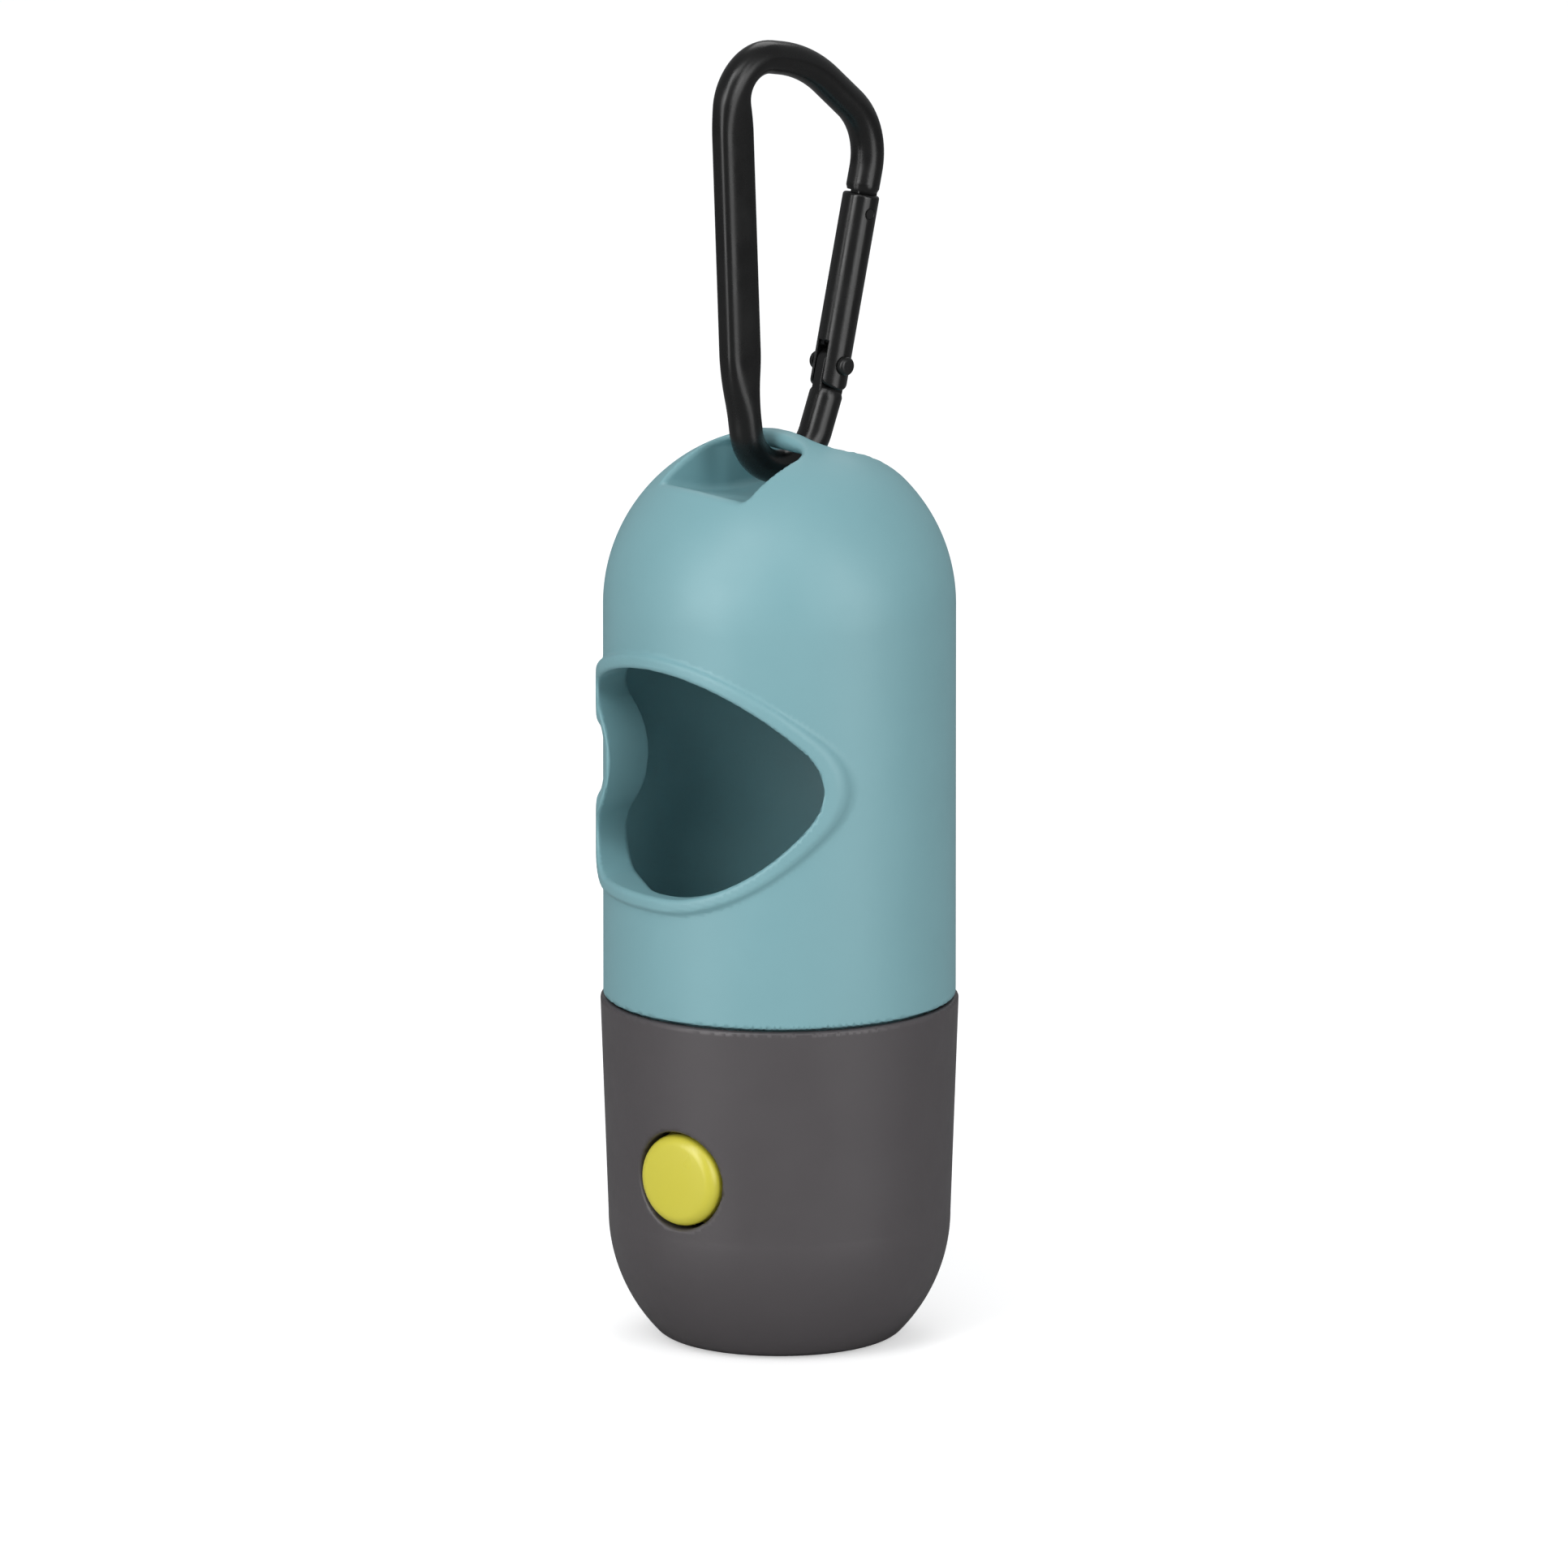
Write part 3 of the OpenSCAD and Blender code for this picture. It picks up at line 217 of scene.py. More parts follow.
def moulded(name, shape, low, high, step):
    """Makes the mesh of a shape, in millimetres: a function that is negative inside.
    Each point starts in a small cell that the surface crosses and is then drawn on to
    the surface, which also gives the shading its true normals."""
    axes = [np.arange(a - step, b + 2 * step, step) for a, b in zip(low, high)]
    value = np.empty([len(a) for a in axes], np.float32)
    for i in range(0, len(axes[0]), 16):
        block = np.meshgrid(axes[0][i:i + 16], axes[1], axes[2], indexing="ij")
        value[i:i + 16] = shape(*block)
    inside = value < 0
    corners = [(a, b, c) for a in (0, 1) for b in (0, 1) for c in (0, 1)]
    size = [n - 1 for n in value.shape]

    def part(array, corner):
        return array[corner[0]:corner[0] + size[0], corner[1]:corner[1] + size[1],
                     corner[2]:corner[2] + size[2]]

    count = sum(part(inside, c).astype(np.int8) for c in corners)
    cells = np.argwhere((count > 0) & (count < 8))
    number = np.full(size, -1, np.int64)
    number[tuple(cells.T)] = np.arange(len(cells))
    total = np.zeros((len(cells), 3))
    weight = np.zeros(len(cells))
    for start in corners:
        for axis in range(3):
            if start[axis]:
                continue
            end = tuple(1 if k == axis else v for k, v in enumerate(start))
            a = value[tuple((cells + start).T)]
            b = value[tuple((cells + end).T)]
            hit = (a < 0) != (b < 0)
            share = np.where(hit, a / np.where(hit, a - b, 1), 0)
            point = cells + np.array(start, float)
            point[:, axis] += share
            total[hit] += point[hit]
            weight[hit] += 1
    points = np.array([a[0] for a in axes]) + step * total / weight[:, None]

    def slope(p):
        h = 0.02
        g = np.empty_like(p)
        for axis in range(3):
            move = np.zeros(3)
            move[axis] = h
            g[:, axis] = (shape(*(p + move).T) - shape(*(p - move).T)) / (2 * h)
        return g

    least_square, pull, leash = 0.05, 0.8, 0.6 * step
    home = points.copy()
    for _ in range(4):
        g = slope(points)
        square = np.maximum((g * g).sum(1), least_square)
        points = points - pull * (shape(*points.T) / square)[:, None] * g
        points = home + np.clip(points - home, -leash, leash)
    normals = slope(points)
    normals /= np.maximum(np.linalg.norm(normals, axis=1), 1e-9)[:, None]

    quads = []
    for axis in range(3):
        one, two = [(axis + 1) % 3, (axis + 2) % 3]
        a = np.moveaxis(inside, (axis, one, two), (0, 1, 2))
        index = np.moveaxis(number, (axis, one, two), (0, 1, 2))
        low_in = a[:-1, 1:-1, 1:-1]
        high_in = a[1:, 1:-1, 1:-1]
        for change, order in ((low_in & ~high_in, 1), (~low_in & high_in, -1)):
            i, j, k = np.nonzero(change)
            ring = np.stack([index[i, j, k], index[i, j + 1, k],
                             index[i, j + 1, k + 1], index[i, j, k + 1]], 1)
            quads.append(ring[:, ::order])
    quads = np.concatenate(quads)
    mesh = bpy.data.meshes.new(name)
    mesh.from_pydata((points / 1000).tolist(), [], quads.tolist())
    mesh.polygons.foreach_set("use_smooth", np.ones(len(mesh.polygons), bool))
    mesh.normals_split_custom_set_from_vertices(normals.tolist())
    mesh.update()
    piece = bpy.data.objects.new(name, mesh)
    scene.collection.objects.link(piece)
    return piece


def half_mouth(x, z, half_h, lobe_r, brow_r, brow_x):
    """Distance to one half of the mouth's outline, negative in the mouth: the tip, side,
    brow, lobe and notch are arcs that run into each other."""
    run = tip_x + brow_x
    side_r = (half_h ** 2 + run ** 2 - tip_r ** 2) / (2 * (half_h - tip_r))
    side_z = half_h - side_r
    side_angle = math.atan2(-side_z, run)
    lobe_x = lobe_reach - lobe_r
    brow_z = half_h - brow_r
    lobe_z = brow_z + math.sqrt((brow_r - lobe_r) ** 2 - (lobe_x - brow_x) ** 2)
    brow_angle = math.atan2(lobe_z - brow_z, brow_x - lobe_x)
    inset = notch_reach - lobe_x
    notch_r = (inset ** 2 + lobe_z ** 2 - lobe_r ** 2) / (2 * (lobe_r - inset))
    notch_x = notch_reach + notch_r
    notch_angle = math.atan2(lobe_z, notch_x - lobe_x)
    from_lobe = np.hypot(x + lobe_x, z - lobe_z)
    from_notch = np.hypot(x + notch_x, z)

    def arc(cx, cz, radius, low, high):
        angle = np.arctan2(z - cz, x - cx) % (2 * math.pi)
        on = (angle >= low - arc_slack) & (angle <= high + arc_slack)
        return np.where(on, np.abs(np.hypot(x - cx, z - cz) - radius), nowhere)

    away = np.minimum.reduce([
        arc(tip_x, 0, tip_r, 0, side_angle),
        arc(-brow_x, side_z, side_r, side_angle, math.pi / 2),
        arc(-brow_x, brow_z, brow_r, math.pi / 2, brow_angle),
        arc(-lobe_x, lobe_z, lobe_r, brow_angle, math.pi + notch_angle),
        arc(-notch_x, 0, notch_r, 0, notch_angle)])
    tip_join = tip_x + tip_r * math.cos(side_angle)
    brow_join = -brow_x + brow_r * math.cos(brow_angle)
    notch_join = -lobe_x - lobe_r * math.cos(notch_angle)
    top = np.select(
        [x > tip_join, x > -brow_x, x > brow_join],
        [np.sqrt(np.maximum(tip_r ** 2 - (x - tip_x) ** 2, 0)),
         side_z + np.sqrt(np.maximum(side_r ** 2 - (x + brow_x) ** 2, 0)),
         brow_z + np.sqrt(np.maximum(brow_r ** 2 - (x + brow_x) ** 2, 0))],
        lobe_z + np.sqrt(np.maximum(lobe_r ** 2 - (x + lobe_x) ** 2, 0)))
    in_mouth = (z < top) & (x < tip_x + tip_r) & (from_notch > notch_r)
    in_mouth &= (x > notch_join) | (from_lobe < lobe_r)
    return np.where(in_mouth, -away, away)


def mouth_distance(x, z):
    """Distance to the mouth's outline as seen from the front, negative in the mouth."""
    rise = z - mouth_z
    return np.where(rise > 0, half_mouth(x, rise, **high_half), half_mouth(x, -rise, **low_half))


def thread_ridge(x, y, z, wall_r, turn, turns, outward):
    """The screw thread on a wall: a ridge that climbs one pitch for each turn."""
    r = np.hypot(x, y)
    angle = (np.arctan2(y, x) - turn) % (2 * math.pi)
    best = np.full(np.shape(r), nowhere)
    for lap in (0, 1):
        along = angle / (2 * math.pi) + lap
        fade = np.clip(np.minimum(along, turns - along) * thread_fade, -1, 1)
        height = thread_h * np.clip(fade, 0, 1)
        out = (r - wall_r) * outward
        flank = (np.abs(z - thread_low - thread_pitch * along) - thread_crest_half
                 - (thread_h - out) * flank_slope) * flank_cos
        best = np.minimum(best, np.where(fade > 0, np.maximum(out - height, flank), nowhere))
    return np.maximum(best, -thread_root - (r - wall_r) * outward)


def housing_shape(x, y, z):
    """The lipped capsule with its neck, less its chamber, mouth and crown tunnel."""
    r = np.hypot(x, y)
    above = np.maximum(z - dome_z, 0)
    capsule = np.hypot(r, above) - housing_r
    edge = mouth_distance(x, z)
    waist = np.clip(1 - np.hypot(np.minimum(x - waist_x, 0), (z - mouth_z) / waist_half_h), 0, 1)
    waist = waist * (x < waist_start_x)
    waist = waist * waist * (3 - 2 * waist)
    lip_out = (np.hypot(x, y - lip_shift) - housing_r - lip_proud - lip_shift
               + (lip_proud + waist_depth) * waist)
    lip = both(both(lip_out, edge - lip_w, 0.55), y, 0)
    lip = np.maximum(lip, -edge - lip_root)
    outside = either(both(capsule, shoulder_z - z, 0.3), np.where(z > neck_top, lip, nowhere), 0.35)
    outside = either(outside, both(both(r - neck_r, neck_low - z, 0.4), z - neck_top))
    outside = either(outside, thread_ridge(x, y, z, neck_r, 0, 1.1, 1), 0.15)
    u = x * math.cos(crown_turn) - y * math.sin(crown_turn)
    v = x * math.sin(crown_turn) + y * math.cos(crown_turn)
    bore = r - neck_bore_r - np.clip(z - cone_z, 0, chamber_r - neck_bore_r)
    chamber = np.where(z > neck_top, np.hypot(r, above) - chamber_r, bore)
    block = np.maximum(np.abs(u) - tunnel_half_w - tunnel_wall, block_low - z)
    chamber = both(chamber, -block, 1.0)
    solid = both(outside, -chamber, 0.35)
    guide = both(edge - guide_w, y - guide_y, 0.5)
    past_slant = ((x + lobe_reach) * math.sin(guide_slant)
                  + (y - guide_y + guide_set) * math.cos(guide_slant))
    past_lobe = np.maximum(z - mouth_z - high_lobe_z, mouth_z - low_lobe_z - z)
    guide = both(guide, np.minimum(past_slant, past_lobe), 0.3)
    guide = np.maximum(guide, r - guide_r)
    solid = either(solid, guide, 0.5)
    solid = both(solid, -np.maximum(edge, y), 0.6)
    dish = np.hypot(v, z - tunnel_floor - floor_r) - floor_r
    qx = np.abs(u) - (tunnel_half_w - bridge_spread)
    qv = bridge_half_w + bridge_spread - np.abs(v)
    pocket = (np.hypot(np.maximum(qx, 0), np.maximum(qv, 0))
              + np.minimum(np.maximum(qx, qv), 0) - bridge_spread)
    under = both(np.abs(u) - tunnel_half_w, z - bridge_under, 0.8)
    cut = both(dish, either(pocket, under, 1.1), 0.9)
    cut = np.maximum(cut, cut_low - z)
    return both(solid, -cut, 0.8)


housing = moulded("upper_housing_skin", housing_shape, (-21, -21.7, 34), (21, 21, 110), skin_step)


def new_look(name):
    """A material, with its node tree, its shader and the piece's own coordinates."""
    look = bpy.data.materials.new(name)
    look.use_nodes = True
    tree = look.node_tree
    place = add(tree, "ShaderNodeTexCoord").outputs["Object"]
    return look, tree, tree.nodes["Principled BSDF"], place


def dress(tree, shader, colour, tint, rough, relief):
    """Feeds a shader from three textures, each with two values: the darkest and lightest
    share of the colour, the least and most roughness, the relief's strength and depth."""
    base = linear(colour)[:3]
    shades = [[min(1, c * share) for c in base] + [1] for share in tint[1:]]
    mixed = add(tree, "ShaderNodeMix", {"data_type": "RGBA"}, Factor=tint[0].outputs["Fac"],
                i6=shades[0], i7=shades[1])
    spread = add(tree, "ShaderNodeMapRange", Value=rough[0].outputs["Fac"],
                 From_Min=0.3, From_Max=0.7, To_Min=rough[1], To_Max=rough[2])
    bump = add(tree, "ShaderNodeBump", Strength=relief[1], Distance=relief[2],
               Height=relief[0].outputs["Fac"])
    tree.links.new(mixed.outputs[2], shader.inputs["Base Color"])
    tree.links.new(spread.outputs[0], shader.inputs["Roughness"])
    tree.links.new(bump.outputs[0], shader.inputs["Normal"])


def plastic(name, colour, roughness, mottle, grain_mm, grain_depth, ior=1.49):
    """Moulded plastic: a body colour with a faint flow mottle, and a fine mould grain
    that softens its highlights."""
    look, tree, shader, place = new_look(name)
    flow = add(tree, "ShaderNodeTexNoise", Vector=place, Scale=90.0, Detail=3.0, Roughness=0.5)
    patch = add(tree, "ShaderNodeTexNoise", Vector=place, Scale=160.0, Detail=2.0)
    grain = add(tree, "ShaderNodeTexNoise", Vector=place, Scale=1000 / grain_mm, Detail=2.0)
    sheen_patch = 0.06
    dress(tree, shader, colour, (flow, 1 - mottle, 1 + mottle),
          (patch, roughness - sheen_patch, roughness + sheen_patch), (grain, 0.25, grain_depth))
    shader.inputs["IOR"].default_value = ior
    return look


# Polypropylene, moulded in a blasted tool: an even matte skin with wide soft lights.
# The real grain is near 0.1 mm and is drawn at 0.5 mm so that it shows.
housing_look = plastic("moulded_polypropylene_blue_grey", "#7FADB4", 0.46, 0.035, 0.5, 0.00004)
housing.data.materials.append(housing_look)
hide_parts("upper_housing")
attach(housing, "housing")

# ---------------------------------------------------------------- cap
# The screw cap: a round-bottomed cup in a warm dark grey, moulded in a stiffer plastic
# with the same satin skin. Its rim stands a hair proud of the housing, and its floor
# has the torch's window.
cap_turn = math.radians(0.5)
cap_low_r = 20.4
cap_rim_r = 21.35
cap_round_z = 15.1
seam_z = 41.4
cap_bore_r = 18.4
rim_bore_r = 20.05
ledge_z = 31.8
button_z = 22.3
button_hole_r = 5.95
window_hole_r, window_hole_top = 9.3, 3
collar_r, collar_half_w, collar_top = 10.4, 0.65, 16.3
cap_floor, inner_low, inner_depth = 1.6, 0.8, 1
post_ring_r, post_r, post_hole_r = 16, 2.6, 1.06
sleeve_r, sleeve_y = 7.25, 16.71
board_y, board_half_l, board_half_t, board_low = 8, 12.15, 0.75, 11.1


def turned(x, y):
    """The cap's own axes, which stand a little turned when it is screwed home."""
    return (x * math.cos(cap_turn) + y * math.sin(cap_turn),
            -x * math.sin(cap_turn) + y * math.cos(cap_turn))


def cap_shape(x, y, z):
    """The round-bottomed cup, with its posts, collar, button sleeve and thread inside."""
    thread = thread_ridge(x, y, z, rim_bore_r, math.pi, 1.05, -1)
    x, y = turned(x, y)
    r = np.hypot(x, y)
    low = np.hypot(r, np.minimum(z - cap_round_z, 0)) - cap_low_r
    taper = r - cap_low_r - (cap_rim_r - cap_low_r) * (z - cap_round_z) / (seam_z - cap_round_z)
    outside = both(both(np.where(z < cap_round_z, low, taper), -z, 0.9), z - seam_z, 0.3)
    hollow = np.hypot(r, np.minimum(z - cap_round_z, 0)) - cap_bore_r
    hollow = np.maximum(hollow, cap_floor - z)
    hollow = np.minimum(hollow, np.maximum(r - rim_bore_r, ledge_z - z))
    solid = both(outside, -hollow, 0.25)
    inner_wall = np.hypot(r, np.minimum(z - cap_round_z, 0)) - (cap_low_r - inner_depth)
    posts = np.full(np.shape(r), nowhere)
    for angle in (90, 210, 330):
        a = math.radians(angle)
        from_post = np.hypot(x - post_ring_r * math.cos(a), y - post_ring_r * math.sin(a))
        post = np.maximum(np.maximum(from_post - post_r, z - ledge_z), post_hole_r - from_post)
        posts = np.minimum(posts, post)
    collar = np.maximum(np.abs(r - collar_r - collar_half_w) - collar_half_w, z - collar_top)
    collar = np.maximum(collar, inner_low - z)
    from_button = np.hypot(x, z - button_z)
    sleeve = np.maximum(from_button - sleeve_r, y + sleeve_y)
    inner = np.minimum(np.minimum(posts, collar), sleeve)
    inner = np.maximum(inner, np.maximum(inner_wall, inner_low - z))
    solid = np.minimum(solid, inner)
    solid = both(solid, -np.maximum(from_button - button_hole_r, y + board_y), 0.4)
    solid = both(solid, -np.maximum(r - window_hole_r, z - window_hole_top), 0.3)
    slot = np.maximum(np.abs(x) - board_half_l, np.abs(y + board_y) - board_half_t)
    slot = np.maximum(slot, board_low - z)
    solid = np.maximum(solid, -slot)
    return either(solid, thread, 0.1)


cap = moulded("cap_skin", cap_shape, (-21.4, -21.4, 0), (21.4, 21.4, 41.4), skin_step)
# Acrylonitrile butadiene styrene with the same blasted skin, and a slightly stronger
# mottle from the mould's flow.
cap_look = plastic("moulded_abs_warm_grey", "#524E50", 0.44, 0.05, 0.5, 0.00004)
cap.data.materials.append(cap_look)
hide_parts("cap_shell")
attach(cap, "cap")

# ---------------------------------------------------------------- push button
# The torch's button: a soft-edged yellow disc with a low dome, moulded with its flange
# and stem in one. It has a smoother skin than the cap and takes small soft lights.
button_r = 5.55
button_front = 20.76
button_dome = 0.4
disc_root = 0.3
flange_front, flange_mid, flange_half_t = 16.51, 16.01, 0.5
flange_r, flange_flat = 6.55, 5.75
stem_r, stem_front, stem_back = 1.7, 16, 13.3


def button_shape(x, y, z):
    """The domed disc with its flange, cut flat above and below, and its stem."""
    x, y = turned(x, y)
    y = -y
    r = np.hypot(x, z - button_z)
    dome_r = (button_r ** 2 + button_dome ** 2) / (2 * button_dome)
    dome = np.sqrt(r ** 2 + (y - button_front - button_dome + dome_r) ** 2) - dome_r
    disc = both(both(r - button_r, dome, 1.3), flange_front - disc_root - y)
    flange = both(np.maximum(r - flange_r, np.abs(z - button_z) - flange_flat),
                  np.abs(y - flange_mid) - flange_half_t, 0.2)
    stem = np.maximum(np.maximum(r - stem_r, y - stem_front), stem_back - y)
    return either(np.minimum(disc, flange), stem, 0.3)


button = moulded("push_button_skin", button_shape, (-7, -22.2, 16.3), (9, -12.5, 28.3), 0.22)
# Glossier plastic with a full yellow pigment: nearly even colour, small soft lights.
button_look = plastic("moulded_abs_yellow", "#D9D044", 0.32, 0.03, 0.6, 0.00003, ior=1.53)
button.data.materials.append(button_look)
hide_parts("push_button")
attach(button, "button")

# ---------------------------------------------------------------- carabiner frame
# A bent aluminium bar, four millimetres thick, whose straight back is pressed flat
# before it is black anodised. Its middle line runs from the gate's nose over the top,
# down the back and round the bend to the gate's foot.
bar_d = 4.0
spine_w, spine_t = 5.2, 3.1
bend_r = 5.8
bend_u, bend_z = 0.4, 111.4
pivot = np.array([8.35, 117.0])
gate_lean = math.radians(13.4)
gate_l = 20.5
gate_d = 4.4
gate_foot = 3.0
nose_gap = 0.3
foot_gap = 0.25
lean_in, lean_out = 8, 18
arc_step = 0.5
up = np.array([math.sin(gate_lean), math.cos(gate_lean)])
nose = pivot + (gate_l + nose_gap) * up
corners = [nose, [15.03, bend_z + 33.4], [4.2, bend_z + 42.9], [-7.85, bend_z + 45.4],
           [-6.13, bend_z + 4.8],
           [bend_u - bend_r * math.cos(math.radians(lean_in)),
            bend_z - bend_r * math.sin(math.radians(lean_in))]]
corner_r = [0, 8.5, 16, 5.2, 30, 0]


def bent(points, radii):
    """The bar's middle line: straight runs joined by arcs, closely and evenly set."""
    line = [np.array(points[0], float)]
    for i in range(1, len(points) - 1):
        before, at, after = (np.array(points[k], float) for k in (i - 1, i, i + 1))
        a = (before - at) / np.linalg.norm(before - at)
        b = (after - at) / np.linalg.norm(after - at)
        half = math.acos(float(a @ b)) / 2
        centre = at + (a + b) / np.linalg.norm(a + b) * radii[i] / math.sin(half)
        first = at + a * radii[i] / math.tan(half)
        last = at + b * radii[i] / math.tan(half)
        start = math.atan2(first[1] - centre[1], first[0] - centre[0])
        finish = math.atan2(last[1] - centre[1], last[0] - centre[0])
        sweep = (finish - start + 3 * math.pi) % (2 * math.pi) - math.pi
        steps = max(6, int(abs(math.degrees(sweep)) / arc_step))
        line += [centre + radii[i] * np.array([math.cos(start + sweep * k / steps),
                                               math.sin(start + sweep * k / steps)])
                 for k in range(steps + 1)]
    return line


bar_line = bent(corners, corner_r)
bar_line += [np.array([bend_u + bend_r * math.cos(math.radians(a)),
                       bend_z + bend_r * math.sin(math.radians(a))])
             for a in np.arange(180 + lean_in, 360 + arc_step - lean_out, arc_step)]
bar_line.append(pivot - (gate_foot + foot_gap) * up)

loop_place = (Matrix.Rotation(-crown_turn, 4, "Z") @ Matrix.Rotation(math.radians(90), 4, "Z")
              @ Matrix.Rotation(math.radians(90), 4, "X"))


def to_mesh(obj, place):
    """Takes the finished result of an object's geometry nodes as a plain smooth mesh."""
    made = bpy.data.meshes.new_from_object(obj.evaluated_get(bpy.context.evaluated_depsgraph_get()))
    name = obj.name
    bpy.data.objects.remove(obj)
    made.transform(place)
    made.polygons.foreach_set("use_smooth", np.ones(len(made.polygons), bool))
    made.name = name
    piece = bpy.data.objects.new(name, made)
    scene.collection.objects.link(piece)
    return piece


def line_object(name, points):
    """A curve of straight steps through points in the plane of the loop."""
    curve = bpy.data.curves.new(name, "CURVE")
    curve.dimensions = "3D"
    spline = curve.splines.new("POLY")
    spline.points.add(len(points) - 1)
    for point, p in zip(spline.points, points):
        point.co = (p[0] / 1000, p[1] / 1000, (p[2] if len(p) > 2 else 0) / 1000, 1)
    obj = bpy.data.objects.new(name, curve)
    scene.collection.objects.link(obj)
    return obj


def new_tree(name, sizes):
    """An empty geometry node tree with an input for each named size."""
    tree = bpy.data.node_groups.new(name, "GeometryNodeTree")
    tree.interface.new_socket("Geometry", in_out="INPUT", socket_type="NodeSocketGeometry")
    tree.interface.new_socket("Finish", in_out="INPUT", socket_type="NodeSocketMaterial")
    for key in sizes:
        tree.interface.new_socket(key, in_out="INPUT", socket_type="NodeSocketFloat")
    tree.interface.new_socket("Geometry", in_out="OUTPUT", socket_type="NodeSocketGeometry")
    return tree, add(tree, "NodeGroupInput")


def close_tree(tree, given, geometry):
    """Ends a tree: real geometry, with the piece's own finish."""
    real = add(tree, "GeometryNodeRealizeInstances", i0=geometry)
    done = add(tree, "GeometryNodeSetMaterial", Geometry=real.outputs[0],
               Material=given.outputs["Finish"])
    add(tree, "NodeGroupOutput", Geometry=done.outputs[0])


def grow(obj, tree, finish, sizes):
    """Puts a tree on an object, with its sizes and its finish."""
    modifier = obj.modifiers.new(tree.name, "NODES")
    modifier.node_group = tree
    for item in tree.interface.items_tree:
        if item.in_out == "INPUT" and item.name in sizes:
            modifier[item.identifier] = float(sizes[item.name])
        if item.in_out == "INPUT" and item.name == "Finish":
            modifier[item.identifier] = finish


def maths(tree, operation, a, b=0.0, c=0.0):
    """One sum in a tree, which gives its result's socket."""
    return add(tree, "ShaderNodeMath", {"operation": operation}, i0=a, i1=b, i2=c).outputs[0]


def anodised(name, colour, roughness):
    """A thin black coat on metal: dark all over, with satin lights, a fine grain and a
    trace of handling wear."""
    look, tree, shader, place = new_look(name)
    wear = add(tree, "ShaderNodeTexNoise", Vector=place, Scale=220.0, Detail=4.0)
    grain = add(tree, "ShaderNodeTexNoise", Vector=place, Scale=2600.0, Detail=1.0)
    dress(tree, shader, colour, (wear, 0.85, 1.2), (wear, roughness - 0.05, roughness + 0.07),
          (grain, 0.2, 0.00002))
    shader.inputs["Specular IOR Level"].default_value = 0.45
    return look


# The dyed oxide layer hides the metal's own colour, so the bar takes its highlights as
# a dark lacquer does. The grain of the blasted surface is drawn at 0.4 mm.
bar_look = anodised("black_anodised_aluminium", "#101010", 0.27)

bar_sizes = {"Bar diameter": bar_d / 1000, "Spine width": spine_w / 1000,
             "Spine thickness": spine_t / 1000,
             "Spine foot": (bend_z + 0.5) / 1000, "Spine top": (bend_z + 44) / 1000,
             "Press length": 0.0085, "End round": 0.0004}
bar_tree, given = new_tree("pressed_bar", bar_sizes)
even = add(bar_tree, "GeometryNodeResampleCurve", {"mode": "LENGTH"},
           Curve=given.outputs["Geometry"], Length=0.0005)
parameter = add(bar_tree, "GeometryNodeSplineParameter")
spline_length = add(bar_tree, "GeometryNodeSplineLength")
from_end = maths(bar_tree, "MINIMUM", parameter.outputs["Length"],
                 maths(bar_tree, "SUBTRACT", spline_length.outputs["Length"],
                       parameter.outputs["Length"]))
end_share = maths(bar_tree, "MINIMUM",
                  maths(bar_tree, "DIVIDE", from_end, given.outputs["End round"]), 1.0)
end_size = maths(bar_tree, "MULTIPLY_ADD", maths(bar_tree, "POWER", end_share, 0.5), 0.1, 0.9)
sized = add(bar_tree, "GeometryNodeSetCurveRadius", Curve=even.outputs[0], Radius=end_size)
where = add(bar_tree, "GeometryNodeInputPosition")
kept = add(bar_tree, "GeometryNodeCaptureAttribute", Geometry=sized.outputs[0])
kept.capture_items.new("VECTOR", "middle")
bar_tree.links.new(where.outputs[0], kept.inputs[1])
ring = add(bar_tree, "GeometryNodeCurvePrimitiveCircle", Resolution=64,
           Radius=maths(bar_tree, "MULTIPLY", given.outputs["Bar diameter"], 0.5))
tube = add(bar_tree, "GeometryNodeCurveToMesh", Curve=kept.outputs[0], Profile_Curve=ring.outputs[0])
tube.inputs["Fill Caps"].default_value = True
if "Scale" in tube.inputs:
    bar_tree.links.new(end_size, tube.inputs["Scale"])
middle = add(bar_tree, "ShaderNodeSeparateXYZ", Vector=kept.outputs[1])
along = middle.outputs["Y"]
rise = maths(bar_tree, "DIVIDE", maths(bar_tree, "SUBTRACT", along, given.outputs["Spine foot"]),
             given.outputs["Press length"])
fall = maths(bar_tree, "DIVIDE", maths(bar_tree, "SUBTRACT", given.outputs["Spine top"], along),
             given.outputs["Press length"])
back_side = maths(bar_tree, "LESS_THAN", middle.outputs["X"], 0.0)
flat = maths(bar_tree, "MINIMUM", maths(bar_tree, "MINIMUM", rise, fall), 1.0)
flat = maths(bar_tree, "MULTIPLY", maths(bar_tree, "MAXIMUM", flat, 0.0), back_side)
flat = maths(bar_tree, "MULTIPLY", maths(bar_tree, "MULTIPLY", flat, flat),
             maths(bar_tree, "MULTIPLY_ADD", flat, -2.0, 3.0))
offset = add(bar_tree, "ShaderNodeVectorMath", {"operation": "SUBTRACT"},
             i0=where.outputs[0], i1=kept.outputs[1])
parts = add(bar_tree, "ShaderNodeSeparateXYZ", Vector=offset.outputs[0])
half_bar = maths(bar_tree, "MULTIPLY", given.outputs["Bar diameter"], 0.5)
power = maths(bar_tree, "MULTIPLY_ADD", flat, -0.42, 1.0)
flat_offset = []
